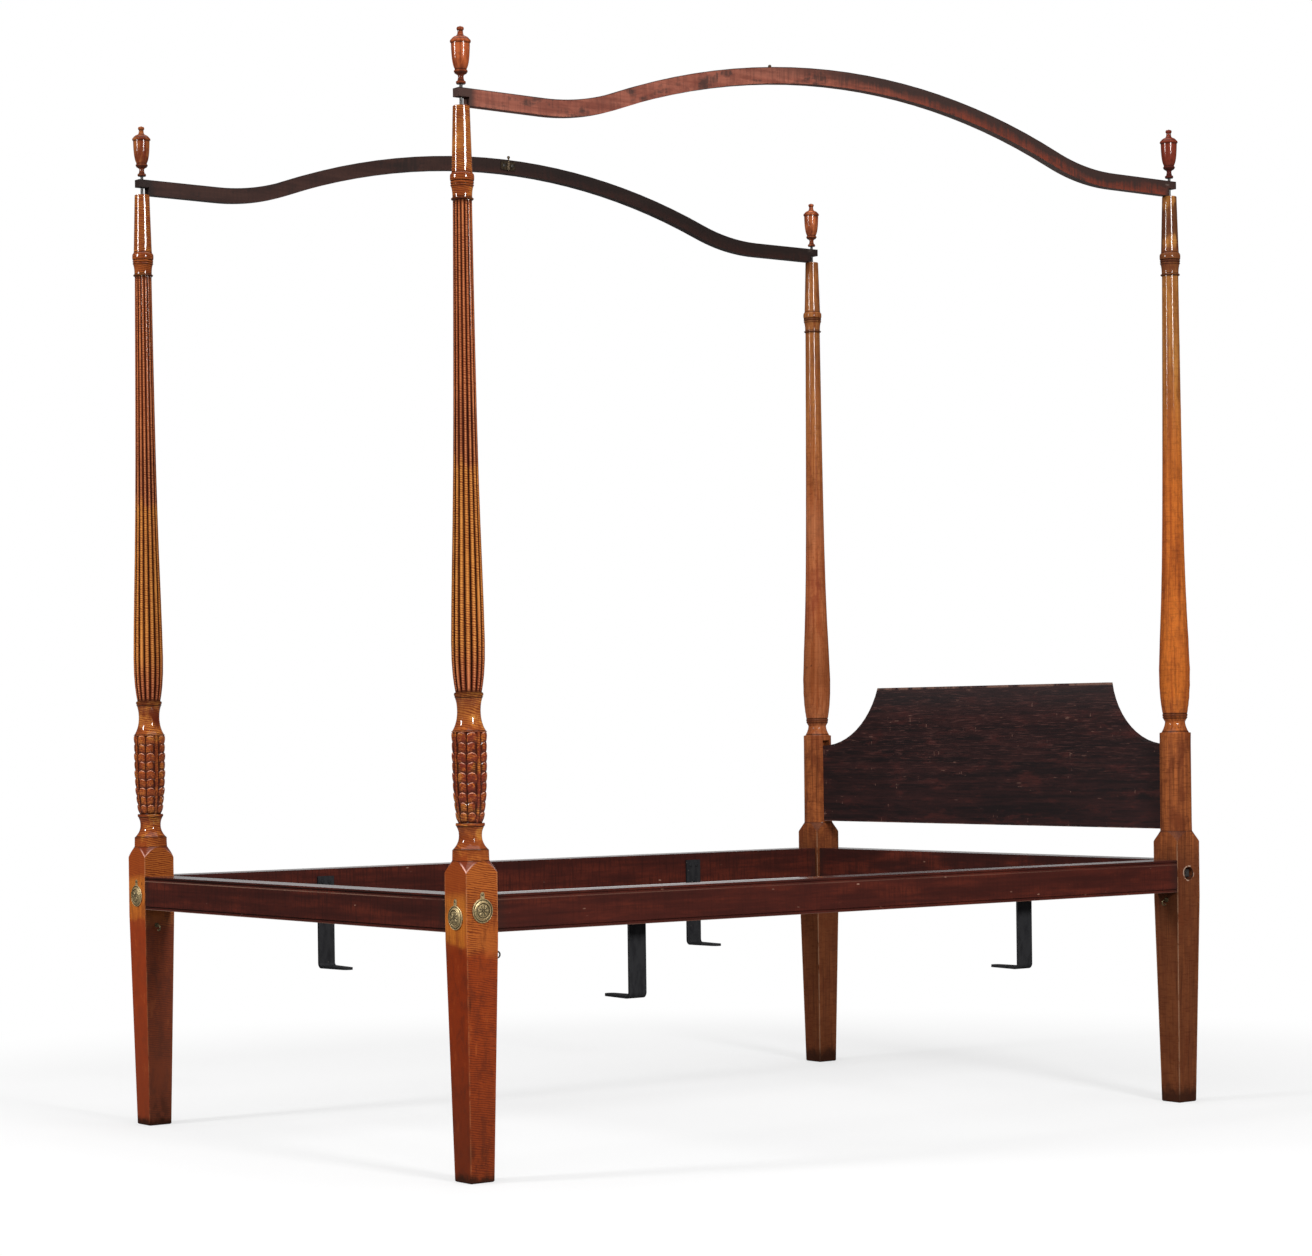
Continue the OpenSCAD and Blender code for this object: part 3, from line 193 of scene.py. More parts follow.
def foot_maple(name, side, leg_light):
    s = Shader(name)
    dx, dy = s.x - side * POST_X, s.y + POST_Y
    radius = (dx * dx + dy * dy) ** 0.5
    turn = dy.math("ARCTAN2", dx) * (1 / (2 * math.pi)) + 1
    phase = (turn * REEDS).math("FRACT")
    shaft = s.z.step(SHAFT_Z - 0.001, SHAFT_Z + 0.002) * s.z.step(SHAFT_TOP, SHAFT_TOP - 0.002)
    reed = (turn * REEDS).math("FLOOR") * shaft
    neck = s.z.step(NECK_Z, NECK_Z + 0.015)
    turned = s.z.step(SHOULDER_Z, SHOULDER_TOP) * (1 - shaft)
    below = s.z.step(SHOULDER_Z, LEG_TOP)
    leg = s.z.step(LEG_TOP, LEG_TOP - 0.06)
    foot_face = (0 - dy - abs(dx)).step(-0.001, 0.001) * s.z.step(SHOULDER_TOP, 0.612)

    # The curl crosses the grain in fine slanting bars, and each reed cuts it at another place
    grain = s.figure(300, 7, 4)
    patches = s.noise(s.x * 9 + reed, s.y * 9, s.z * 9)
    tone = s.noise(s.x * 5 + 9, s.y * 5, s.z * 4.2, 4)
    own = s.noise(reed * 3.7, s.z * 3, s.z * 0, 2)
    wander = s.noise(s.x * 16 + reed * 0.37, s.y * 16, s.z * 45)
    slanted = s.z + dy * 0.16 + dx * 0.1
    bars = (slanted * CURL_BARS + wander * 17).math("SINE") * 0.3
    fine = s.noise(s.x * 14 + 3 - reed * 0.3, s.y * 14, s.z * 480, 2, 0.5, 0.5)
    curl = (bars + fine + neck * 0.25).step(0.44, 0.7)
    curl = curl * patches.step(0.28, 0.5) * (1 - foot_face * 0.58)

    # Golden above the rails and most of all on the belly and neck, redder on the leg, in the rings
    # and up the shaft
    gold = (s.z + tone * 0.14 + patches * 0.05).step(GOLD_Z, GOLD_Z + 0.02)
    gold = gold * (1 - s.z.line(0.76, 0.14) * 0.75)
    gold = gold * (1 - (s.z + own * 0.2).step(GOLD_TOP, GOLD_TOP + 0.025) * shaft * 0.75)
    gold = gold * (1 - s.z.line(CROWN_Z, 0.035) * 0.1)
    gold = gold * (1 - s.z.line(BELLY_FOOT, 0.1) * shaft * 0.9)
    gold = gold * (1 - tone.step(0.52, 0.72) * 0.35)
    gold = gold * (1 - foot_face * (s.z + tone * 0.05).step(0.555, 0.575) * 0.75)
    bright = neck.most(shaft * 0.8).most(s.z.line(0.9, 0.05) * 0.8)
    amber = s.mix(bright, (0.46, 0.125, 0.026), (0.55, 0.195, 0.042))
    amber = s.mix(curl, amber, s.mix(bright, (0.2, 0.042, 0.012), (0.23, 0.052, 0.015)))
    russet = s.mix(shaft, (0.31, 0.052, 0.0125), (0.36, 0.08, 0.038))
    russet = s.mix(curl * 0.8, russet, (0.15, 0.024, 0.01))
    wood = s.mix(gold, russet, amber)

    # The varnish lies in clouds on every turned part: red ones, gold ones and, up the shaft, brown
    # ones, and painted shade darkens all of it towards the top
    clouds = s.figure(34, 26, 4, 0.6, 0.4)
    cove = s.z.line(COVE_Z, 0.035) * side
    red_share = 0.65 - neck * 0.45 - cove * 0.35 - s.z.line(1.893, 0.03) * 0.42
    gold_share = (1 - curl * (1 - cove)) * (0.55 + cove * 0.4)
    brown = clouds.step(0.45, 0.68) + s.z.line(0.94, 0.11) + s.z.line(1.2, 0.16) * 0.4
    wood = s.coats(
        wood,
        (clouds.step(0.42, 0.6) * turned * red_share, (0.15, 0.024, 0.009)),
        (clouds.step(0.47, 0.37) * turned * gold_share, (0.68, 0.29, 0.05)),
        (brown * shaft * 0.3, (0.15, 0.028, 0.012)),
        (s.z.step(0.95, POST_TOP) * 0.2, (0.07, 0.014, 0.006)))

    # The leg's foot face is red, with an amber patch behind the cover; the block and leg are
    # mottled, a dark band stops the belly's gold, and the left leg lies in the shade
    patch = foot_face * (s.z + patches * 0.06).step(PATCH_Z, PATCH_Z + 0.012)
    patch = patch * (s.z + tone * 0.05).step(PATCH_TOP, PATCH_TOP - 0.025) * grain.step(0.75, 0.4)
    mottle = s.figure(42, 20, 5, 0.7, 0.3)
    band = (s.z + own * 0.2).step(GOLD_TOP + 0.01, GOLD_TOP + 0.025) * s.z.step(1.54, 1.44)
    band = band * shaft * own.step(0.25, 0.5)
    shaded = leg * (1 - leg_light)
    wood = s.coats(
        wood,
        (foot_face * leg * 0.8, (0.25, 0.032, 0.008)),
        (patch * 0.65, (0.66, 0.21, 0.028)),
        (mottle.step(0.46, 0.66) * below * 0.5, (0.1, 0.021, 0.011)),
        (mottle.step(0.43, 0.3) * below * 0.5, (0.46, 0.1, 0.024)),
        (grain.step(0.5, 0.8) * 0.3, (0.13, 0.03, 0.01)),
        (band * 0.6, (0.09, 0.018, 0.012)),
        # Painted shade: the leg darkens towards the floor, on the foot face most
        (s.z.step(0.34, 0.02) * (0.28 + foot_face * 0.22), (0.09, 0.026, 0.014)),
        (shaded * (1 - foot_face), (0.1, 0.06, 0.045)),
        (shaded * foot_face * 0.85, (0.42, 0.075, 0.025)))

    # Each reed carries a painted highlight along its middle
    ridge_highlight = (abs(phase - 0.5) + s.z.step(1.3, 1.6) * 0.05).step(0.26, 0.05) * shaft
    ridge_highlight = ridge_highlight * (1 - curl * 0.85) * (0.45 + own.step(0.38, 0.6) * 0.42)
    wood = s.mix(ridge_highlight, wood, s.mix(gold, (0.74, 0.26, 0.115), (0.78, 0.33, 0.075)))

    # The shoulder's facets are dark between arrises with a painted highlight
    upward = s.upward()
    facet = upward.step(0.25, 0.35) * s.z.line(SHOULDER_Z, 0.03).step(0, 0.2)
    wide, narrow = abs(dx).most(abs(dy)), abs(dx).least(abs(dy))
    arris_highlight = facet * wide.step(BLOCK_HALF - 0.0026, BLOCK_HALF - 0.0008) * narrow.step(0.012, 0.026)
    at_foot = (abs(dy) - abs(dx)).step(-0.002, 0.002) * (0.3 + side * 0.15)
    wood = s.coats(
        wood,
        (facet * 0.75, (0.13, 0.024, 0.014)),
        (arris_highlight * at_foot + arris_highlight * 0.42, (0.9, 0.5, 0.4)))

    # The carved vase: red with orange and dark flecks, painted nearly black as shade in the ground
    # between the leaves, and with a painted highlight on the leaves' upper edges
    rise = ((s.z - VASE_Z) / (VASE_TOP - VASE_Z)).most(0).least(1)
    hollow = VASE_RADIUS - (1 - rise) ** 4 * VASE_SHRINK - radius
    vase = s.z.step(VASE_Z, VASE_Z + 0.001) * s.z.step(VASE_TOP, VASE_TOP - 0.003)
    veins = s.figure(260, 210, 3, 0.6, 0.6)
    flecks = s.noise(s.x * 150 + 7, s.y * 150, s.z * 190, 3, 0.65, 0.8)
    wood = s.coats(
        wood,
        (vase * clouds.step(0.35, 0.6) * (0.45 + side * 0.15), (0.22, 0.034, 0.02)),
        (vase * (flecks.step(0.52, 0.66) * 0.7 + (1 - side) * 0.05), (0.66, 0.18, 0.035)),
        (vase * flecks.step(0.46, 0.34) * 0.6, (0.1, 0.02, 0.016)),
        (vase * (hollow + veins * 0.002).step(0.0022, 0.0038) * 0.9, (0.05, 0.011, 0.007)),
        (vase * upward.step(0.25, 0.6) * hollow.step(0.0026, 0.0012) * 0.8, (0.85, 0.42, 0.28)))

    # Painted shade between the reeds, at the shaft's ends and in the grooves, then the pale worn
    # corners, dirt at the foot, a few dents and a crack in the right leg
    between = (phase.least(1 - phase) + grain * 0.08).step(0.34, 0.13)
    ends = s.z.lines((SHAFT_Z, 0.01), (SHAFT_TOP, 0.012),
                     *BLOCK_GROOVES, *VASE_GROOVES, *CROWN_GROOVES)
    dark = (between * shaft).most(ends * 0.85)
    scuffs = s.figure(60, 45, 4)
    speckles = mottle.step(0.5, 0.6) * s.z.step(0.085, 0.045) * (1 - foot_face)
    dirt = (s.z + scuffs * 0.03).step(0.037, 0.018).most(speckles * 0.3)
    dents = s.cells(s.x * 28, s.y * 28, s.z * 16).step(0.09, 0.04) * scuffs.step(0.5, 0.6)
    crack = s.z.line(CRACK_Z, 0.03) * (dy + CRACK_Y).line(0, 0.002) * dx.step(0.02, 0.022)
    wood = s.coats(
        wood,
        (dark * 0.93, (0.03, 0.008, 0.004)),
        (worn_corner(s, dx, dy, scuffs, 0.55) * (0.5 - leg * 0.28), (0.62, 0.24, 0.1)),
        (dirt.most(dents * 0.7).most(crack * max(side, 0) * 0.8), (0.045, 0.016, 0.009)))

    rough = 0.36 + dark * 0.25 + dirt * 0.3 + grain * 0.08
    relief = grain * 0.2 + curl * 0.1 - dents + vase * veins * 6
    dull = shaft * 0.63 + s.z.step(SHOULDER_TOP, SHOULDER_Z) * (0.6 - facet * 0.6) + dark * 0.1
    return s.finish(wood, rough, relief, depth=0.00015, Specular_IOR_Level=0.0,
                    Coat_Weight=0.75 - dull, Coat_Roughness=0.09)


paint(foot_maple("foot_post_maple_right", 1, 1.0), "foot_post_right")
paint(foot_maple("foot_post_maple_left", -1, 0.65), "foot_post_left")


# Head posts: plainer maple, turned without carving, its grain in long streaks. The shafts are
# orange-brown and the parts that the headboard and rails meet are darker and duller.

# Height of the open bolt well in a post's outer side face, and the radius of its ragged rim
WELL_Z, WELL_RIM = 0.517, 0.018
# Height and half width of the turned rings, and of the grooves beside them and on the barrel
HEAD_RINGS = ((0.873, 0.0075), (1.898, 0.0065), (1.8675, 0.003))
HEAD_GROOVES = ((0.8365, 0.003), (0.8665, 0.003), (0.877, 0.003), (SHAFT_TOP, 0.003))


def head_maple(name, side, warmth):
    s = Shader(name)
    cool = 1 - warmth
    dx, dy = s.x - side * POST_X, s.y - POST_Y
    streaks = s.figure(110, 2.6, 4, 0.65, 0.3)
    pores = s.figure(330, 6, 3, 0.6)
    ticks = s.figure(40, 400, 3, 0.6, 0.4)
    tone = s.noise(s.x * 6 + 5 * side, s.y * 6, s.z * 2.4)
    clouds = s.figure(26, 13, 4, 0.6, 0.5)
    mottle = s.figure(95, 60, 4, 0.7, 0.3)
    high = (s.z + tone * 0.12).step(0.84, 0.98)
    low = (s.z + tone * 0.1).step(0.66, 0.56)
    neck = s.z.step(NECK_Z, NECK_Z + 0.015)

    # The shaft turns from orange above the belly to an olive gold at its top; the barrel, block
    # and leg are brown, the leg's inner face darkest
    orange = s.mix(warmth, (0.49, 0.165, 0.068), (0.58, 0.155, 0.026))
    orange = s.mix(streaks.step(0.4, 0.62) * 0.75, orange, (0.3, 0.062, 0.015))
    olive = s.mix(streaks.step(0.4, 0.62) * 0.8, (0.54, 0.25, 0.06), (0.26, 0.09, 0.03))
    orange = s.mix((s.z + tone * 0.3).step(1.45, 1.9) * (0.35 + warmth * 0.5), orange, olive)
    brown = s.mix(streaks.step(0.38, 0.62) * 0.65, (0.38, 0.11, 0.032), (0.17, 0.047, 0.019))
    brown = s.mix(clouds.step(0.42, 0.62) * 0.6, brown, (0.13, 0.032, 0.015))
    leg_brown = s.mix(dy.step(-0.034, -0.0355), (0.125, 0.04, 0.018), (0.076, 0.027, 0.014))
    brown = s.mix(low * 0.75, brown, leg_brown)

    # Dark clouds, pores, ticks and mottle go over all of it, and the left post has a red belly, a
    # pale length above it and a dull top
    wood = s.coats(
        s.mix(high, brown, orange),
        (clouds.step(0.5, 0.7) * 0.4, (0.15, 0.035, 0.012)),
        (clouds.step(0.38, 0.52) * neck * (0.22 + warmth * 0.63), (0.075, 0.028, 0.017)),
        (pores.step(0.5, 0.68) * (0.55 - high * 0.25), (0.05, 0.016, 0.008)),
        (ticks.step(0.5, 0.66) * (0.45 - high * 0.2), (0.07, 0.018, 0.008)),
        (mottle.step(0.48, 0.66) * 0.35, (0.12, 0.03, 0.012)),
        (s.z.line(CROWN_Z, 0.05).step(0.1, 0.6) * warmth * 0.75, (0.12, 0.031, 0.018)),
        (s.z.line(1.0, 0.18) * cool * 0.62, (0.2, 0.055, 0.018)),
        (s.z.line(1.2, 0.14) * clouds.step(0.35, 0.65) * cool * 0.6, (0.25, 0.045, 0.024)),
        (s.z.line(1.37, 0.1) * cool * 0.25, (0.6, 0.25, 0.12)),
        (s.z.line(1.8, 0.1) * cool * 0.2, (0.12, 0.04, 0.018)))

    # The turned rings and the shoulder's facets are dark, the grooves hold painted shade, the
    # corners are worn, the foot dirty; the rim of the open bolt well is ragged, with pale chips
    # around it
    facet = s.upward().step(0.3, 0.4) * s.z.step(0.63, 0.62)
    scuffs = s.figure(60, 40, 4)
    dirt = (s.z + scuffs * 0.05).step(0.07, 0.038)
    marks = s.cells(s.x * 26, s.y * 26, s.z * 20).step(0.1, 0.05) * scuffs.step(0.5, 0.6)
    well = ((s.z - WELL_Z) ** 2 + dy * dy) ** 0.5 + scuffs * 0.006
    outer = (dx * side).step(BLOCK_HALF - 0.0008, BLOCK_HALF - 0.0003)
    chips = well.line(WELL_RIM + 0.001, 0.0026) * outer * mottle.step(0.47, 0.54)
    wood = s.coats(
        wood,
        (s.z.lines(*HEAD_RINGS) * 0.75, (0.05, 0.017, 0.012)),
        (s.z.lines(*HEAD_GROOVES, *BLOCK_GROOVES, *CROWN_GROOVES) * 0.8, (0.03, 0.009, 0.006)),
        (facet * 0.65, (0.07, 0.026, 0.017)),
        (worn_corner(s, dx, dy, scuffs, 0.5) * 0.55, (0.4, 0.22, 0.13)),
        (dirt.most(marks * 0.7) * 0.85, (0.03, 0.012, 0.008)),
        (chips * 0.8, (0.55, 0.38, 0.28)),
        (well.step(WELL_RIM + 0.0002, WELL_RIM - 0.001) * outer * 0.9, (0.02, 0.012, 0.01)),
        # Painted shade darkens the post towards the top
        (s.z.step(0.8, POST_TOP) * 0.2, (0.08, 0.016, 0.007)))

    rough = 0.34 + low * 0.14 + streaks * 0.12 + dirt * 0.2
    relief = pores * 0.4 + streaks * 0.3 - marks
    return s.finish(wood, rough, relief, depth=0.00025, Specular_IOR_Level=0.0,
                    Coat_Weight=0.35 + neck * 0.2 - low * 0.25 - facet * 0.2, Coat_Roughness=0.09)


paint(head_maple("head_post_maple_right", 1, 1.0), "head_post_right")
paint(head_maple("head_post_maple_left", -1, 0.15), "head_post_left")


# Rails: square hardwood rails under a dark red-brown stain, rubbed through to a warmer red in
# places, with a scratched bead along each edge, bolted into the posts. The grain runs lengthwise.

# How far the outer faces lie from the bed's middle, and where the ends' dark stain begins and ends
SIDE_RAIL_FACE, SIDE_RAIL_ENDS = 0.656, (0.9, 0.93)
END_RAIL_FACE, END_RAIL_ENDS = 1.004, (0.55, 0.584)
# Top of the lower painted highlight, height and half width of the upper one, and of the painted
# bead shade
LOW_HIGHLIGHT_TOP = 0.4768
BEAD_HIGHLIGHT_LINE = 0.5368, 0.0018
BEAD_SHADE_LINES = ((0.5425, 0.0035), (0.481, 0.0022))


def rail_stain(name, along_y, patchy, lined):
    s = Shader(name)
    along, across, face, ends = ((s.y, s.x, SIDE_RAIL_FACE, SIDE_RAIL_ENDS) if along_y
                                 else (s.x, s.y, END_RAIL_FACE, END_RAIL_ENDS))
    streaks = s.noise(along * 2.2, across * 60, s.z * 75, 4, 0.6, 0.2)
    ticks = s.noise(along * 210, across * 12, s.z * 14, 4, 0.7, 0.4)
    grain = s.noise(along * 14, across * 380, s.z * 380)
    rubbed = s.noise(along * 4.5 + 4, across * 9, s.z * 24, 5, 0.65)
    outer = abs(across).step(face - 0.006, face - 0.002)
    # Nearly black patches, red rubbed ones, dark ticks and pores, and dark ends
    wood = s.coats(
        s.mix(streaks.step(0.35, 0.68), (0.1, 0.0195, 0.0125), (0.064, 0.0135, 0.0095)),
        ((1 - rubbed.step(0.4, 0.66)) * (patchy + (1 - outer) * 0.3), (0.026, 0.0095, 0.0085)),
        (rubbed.step(0.5, 0.7) * (1 - ticks.step(0.4, 0.6) * 0.7) * 0.55, (0.14, 0.027, 0.014)),
        (ticks.step(0.47, 0.62) * lined * 0.45, (0.026, 0.009, 0.0075)),
        (grain.step(0.55, 0.8) * 0.35, (0.02, 0.008, 0.006)),
        (abs(along).step(*ends) * 0.5, (0.03, 0.016, 0.013)))
    # The tops are painted paler with dust and a sheen, and shine; chips are rubbed along the beads,
    # which have a painted highlight below each and painted shade in them
    level = s.upward().step(0.8, 0.95)
    # Dust on the tops, with a painted sheen
    dust_and_sheen = s.mix(streaks.step(0.35, 0.65), (0.15, 0.115, 0.105), (0.055, 0.042, 0.04))
    chips = s.cells(along * 20, across * 40, s.z * 50).step(0.1, 0.06) * rubbed.step(0.52, 0.58)
    lines = outer * lined * (1 - level)
    bead_highlights = s.z.line(*BEAD_HIGHLIGHT_LINE).most(s.z.step(LOW_HIGHLIGHT_TOP, LOW_HIGHLIGHT_TOP - 0.001)) * lines
    bead_highlights = bead_highlights * (streaks + ticks * 0.5).step(0.5, 0.8)
    wood = s.coats(
        wood,
        (level * 0.2, dust_and_sheen),
        (chips.most(bead_highlights * 0.7) * 0.8, (0.36, 0.2, 0.14)),
        (s.z.lines(*BEAD_SHADE_LINES) * lines * 0.85, (0.01, 0.005, 0.004)))
    rough = 0.36 + streaks * 0.2 + rubbed * 0.1
    relief = grain * 0.5 + streaks * 0.3 + ticks * 0.2 - chips
    return s.finish(wood, rough, relief, depth=0.0003, Specular_IOR_Level=0.06,
                    Coat_Weight=level, Coat_Roughness=0.2)


paint(rail_stain("right_rail_stain", True, 0.45, 0.4), "side_rail_right")
paint(rail_stain("left_rail_stain", True, 0.2, 1.0), "side_rail_left")
paint(rail_stain("end_rail_stain", False, 0.5, 1.0), "foot_rail", "head_rail")


# Headboard: one wide dark plank, its grain running across the bed, scratched and rubbed pale along
# its upper edge, held by its ends in slots in the head posts.
BOARD_FOOT, BOARD_TOP = 0.6165, 0.9475


def board_stain():
    s = Shader("headboard_stain")
    streaks = s.noise(s.x * 2.6, s.y * 40, s.z * 75, 5, 0.7, 0.4)
    grain = s.noise(s.x * 20, s.y * 400, s.z * 420)
    patches = s.noise(s.x * 9, s.y, s.z * 34, 5, 0.7, 0.15)
    # Fine red threads run along the grain, most of them in the upper part, which is painted paler
    # with a sheen
    threads = s.noise(s.x * 19, s.y, s.z * 380, 3, 0.65, 0.6).step(0.53, 0.66)
    threads = threads * (s.z + patches * 0.3).step(0.8, 1.0)
    # Short scratches lie at two slants, and the edges are rubbed
    slanted = s.cells((s.x + s.z * 0.7) * 14, s.y, s.z * 140).step(0.14, 0.09)
    steep = s.cells(s.x * 130, s.y, (s.z - s.x * 0.5) * 13 + 5).step(0.16, 0.1)
    scratches = (slanted * patches.step(0.52, 0.58)).most(steep * patches.step(0.54, 0.58))
    worn = s.noise(s.x * 30, s.y * 14, s.z * 4, 4, 0.65).step(0.42, 0.58)
    edges = s.z.step(BOARD_TOP - 0.0035, BOARD_TOP).most(s.z.step(BOARD_FOOT + 0.0025, BOARD_FOOT))
    wood = s.coats(
        s.mix(streaks.step(0.36, 0.64), (0.037, 0.014, 0.0135), (0.014, 0.0082, 0.0088)),
        (patches.step(0.5, 0.68) * 0.55, (0.078, 0.019, 0.016)),
        (patches.step(0.46, 0.34) * 0.45, (0.011, 0.008, 0.009)),
        (grain.step(0.52, 0.7) * 0.5, (0.008, 0.006, 0.0065)),
        (threads * 0.5, (0.14, 0.055, 0.045)),
        # Painted sheen: paler towards the upper edge
        (s.z.step(0.86, 0.95) * 0.3, (0.06, 0.045, 0.045)),
        (scratches.most(edges * worn) * 0.65, (0.28, 0.15, 0.11)))
    relief = grain * 0.5 + streaks * 0.5 - scratches
    rough = 0.36 + streaks * 0.18
    return s.finish(wood, rough, relief, depth=0.0003, Specular_IOR_Level=0.2)


paint(board_stain(), "headboard")


# Tester rails: two sawn and planed arches, each in two halves, red-brown with dark grey marks. The
# left one has gone almost black. They lie on the post tops, over the pins.

# Upper edge of the flat ends, the arch's rise and half its span, and the two arcs' radii
TESTER_TOP, ARCH_RISE, ARCH_HALF = 2.0773, 0.137, 0.78
CROWN_ARC, HOLLOW_ARC = 1.7785, 0.5104
# Distance from the rail's middle at which the crown's arc meets the hollows'
ARCS_MEET = 0.606


def tester_stain(name, redness):
    s = Shader(name)
    # Depth of a place below the rail's curved upper edge
    crown = (CROWN_ARC * CROWN_ARC - s.y * s.y).most(0) ** 0.5
    crown = crown + (TESTER_TOP + ARCH_RISE - CROWN_ARC)
    out = (ARCH_HALF - abs(s.y)).most(0)
    hollow = TESTER_TOP + HOLLOW_ARC - (HOLLOW_ARC * HOLLOW_ARC - out * out).most(0) ** 0.5
    on_crown = abs(s.y).step(ARCS_MEET + 0.001, ARCS_MEET - 0.001)
    depth = crown * on_crown + hollow * (1 - on_crown) - s.z
    streaks = s.noise(s.y * 3, s.x * 60, s.z * 55, 4, 0.6, 0.4)
    saw = s.noise(s.y * 170, s.x * 20, s.z * 14, 3, 0.6, 0.2)
    marks = s.noise(s.y * 11, s.x * 9, depth * 26 + 2, 4, 0.65, 0.3)
    grain = s.noise(s.y * 18, s.x * 380, s.z * 380)
    blotches = s.noise(s.y * 16, s.x * 9, s.z * 40 + 3, 5, 0.7, 0.3)
    # Pale red at the foot and deep red at the head, streaked, blotched and saw-marked, with grime
    # under the upper edge, dark spots and dark ends
    headward = s.y.step(-0.25, 0.35)
    grime = (depth + marks * 0.04 - saw * 0.024 - headward * 0.005).step(0.038, 0.014)
    grime = grime * s.y.step(-0.42, 0.12) * 0.92
    spots = marks.step(0.52, 0.64) * saw.step(0.3, 0.55) * 0.75
    ends = abs(s.y).step(0.935, 0.955) * 0.85
    black = s.mix(streaks, (0.03, 0.0185, 0.0155), (0.012, 0.0092, 0.0088))
    # The underside has a pale grey painted sheen towards the head, and the head end's edge is worn
    under = s.upward().step(-0.5, -0.8) * s.y.step(-0.3, 0.3)
    underside_sheen = s.mix(saw, (0.3, 0.25, 0.23), (0.12, 0.095, 0.085))
    worn = s.y.line(0.955, 0.012) * marks.step(0.5, 0.6) * depth.step(0.012, 0.009)
    wood = s.coats(
        s.mix(headward, (0.33, 0.107, 0.068), (0.19, 0.036, 0.018)),
        (streaks.step(0.35, 0.65) * 0.75, (0.17, 0.042, 0.026)),
        (blotches.step(0.44, 0.62) * 0.45, (0.13, 0.032, 0.021)),
        (saw.step(0.47, 0.66) * 0.32, (0.09, 0.028, 0.021)),
        (grime.most(spots).most(ends), (0.035, 0.024, 0.021)),
        (1 - redness, black),
        (grain.step(0.55, 0.8) * 0.3, (0.04, 0.018, 0.014)),
        (depth.step(0.0022, 0.0008) * 0.8, (0.02, 0.013, 0.011)),
        (under * redness * 0.7, underside_sheen),
        (worn * redness * 0.8, (0.42, 0.34, 0.28)))
    relief = grain * 0.4 + streaks * 0.3 + saw * 0.3
    rough = 0.42 + marks * 0.2
    return s.finish(wood, rough, relief, depth=0.0003, Specular_IOR_Level=0.16)


paint(tester_stain("tester_stain_right", 1.0), "tester_right_foot_half", "tester_right_head_half")
paint(tester_stain("tester_stain_left", 0.12), "tester_left_foot_half", "tester_left_head_half")


# Finials: small turned urns with lids in red-brown maple, glossy on the swells and with painted
# shade in the grooves, bored to stand on the pins.

# Height of the finials' feet, then height above the foot and half width of each groove
FINIAL_Z = 2.0853
URN_GROOVES = ((0.0065, 0.0025), (0.021, 0.003), (0.0275, 0.0022), (0.0768, 0.002),
               (0.0845, 0.0018), (0.0915, 0.0018), (0.101, 0.0018), (0.001, 0.0015))


def finial_maple(name, swell, age):
    s = Shader(name)
    up = s.z - FINIAL_Z
    streaks = s.figure(130, 9, 4, 0.6, 0.3)
    tone = s.figure(30, 30)
    grooves = up.lines(*URN_GROOVES)
    wood = s.coats(
        s.mix(streaks.step(0.35, 0.65), swell, (0.2, 0.04, 0.014)),
        (tone.step(0.42, 0.62) * 0.6, (0.1, 0.019, 0.01)),
        (up.step(0.03, 0.024) * (0.4 + age), (0.045, 0.013, 0.01)),
        (age, (0.1, 0.016, 0.012)),
        (grooves * 0.85, (0.035, 0.01, 0.006)))
    rough = 0.3 + streaks * 0.12 + grooves * 0.2
    return s.finish(wood, rough, streaks, depth=0.00003, Specular_IOR_Level=0.0,
                    Coat_Weight=0.5, Coat_Roughness=0.13)


for node, name, swell, age in (
        ("finial_foot_right", "finial_maple_red", (0.48, 0.115, 0.036), 0.0),
        ("finial_head_left", "finial_maple_light", (0.56, 0.16, 0.055), 0.0),
        ("finial_foot_left", "finial_maple_gold", (0.36, 0.12, 0.034), 0.15),
        ("finial_head_right", "finial_maple_dark", (0.36, 0.068, 0.03), 0.6)):
    paint(finial_maple(name, swell, age), node)


# Plain iron: the steel pins in the post tops and the forged bolts and nuts that hold the rails,
# all dull and dark with age.
def old_iron(name, light, dark, metal, roughness):
    s = Shader(name)
    rust = s.figure(160, 160, 5, 0.65)
    pits = s.figure(700, 700, 2)
    color = s.mix(rust.step(0.42, 0.66), light, dark)
    relief = rust * 0.6 + pits * 0.4
    return s.finish(color, roughness + rust * 0.25, relief, depth=0.0002, Metallic=metal)


paint(old_iron("pin_steel", (0.1, 0.095, 0.09), (0.035, 0.03, 0.028), 0.8, 0.4), "post_pins")
paint(old_iron("bolt_iron", (0.13, 0.125, 0.125), (0.06, 0.042, 0.032), 0.8, 0.45),
      "bed_bolts", "bed_nuts")


# Angle irons: flat bar bent into brackets, painted black, chipped along the edges, and screwed to
# the side rails with painted screws.
def black_paint():
    s = Shader("black_iron")
    brush = s.figure(90, 30, 4, 0.6)
    specks = s.cells(s.x * 55, s.y * 55, s.z * 55).step(0.13, 0.07) * brush.step(0.5, 0.62)
    color = s.mix(brush.step(0.4, 0.7), (0.026, 0.026, 0.028), (0.015, 0.015, 0.017))
    color = s.mix(specks * 0.75, color, (0.2, 0.17, 0.15))
    relief = brush * 0.6 - specks * 0.5
    rough = 0.55 + brush * 0.25
    return s.finish(color, rough, relief, depth=0.0003, Specular_IOR_Level=0.16)


paint(black_paint(), "iron_right_foot", "iron_right_head", "iron_left_foot", "iron_left_head",
      "iron_screws")


# Bolt covers: stamped brass discs, each with a raised rim, a ring and a small plain rosette, hung
# by an ear from a pin over its bolt. Tarnish fills the low places.

# Height of the discs' middles on the side and foot faces
SIDE_COVER_Z, FOOT_COVER_Z = 0.517, 0.504
# The rosette's radius and petals, then radius and half width of each sunk ring
ROSETTE, PETALS = 0.011, 8
COVER_RINGS = ((0.0205, 0.0017), (0.0135, 0.0019), (0.003, 0.0012))


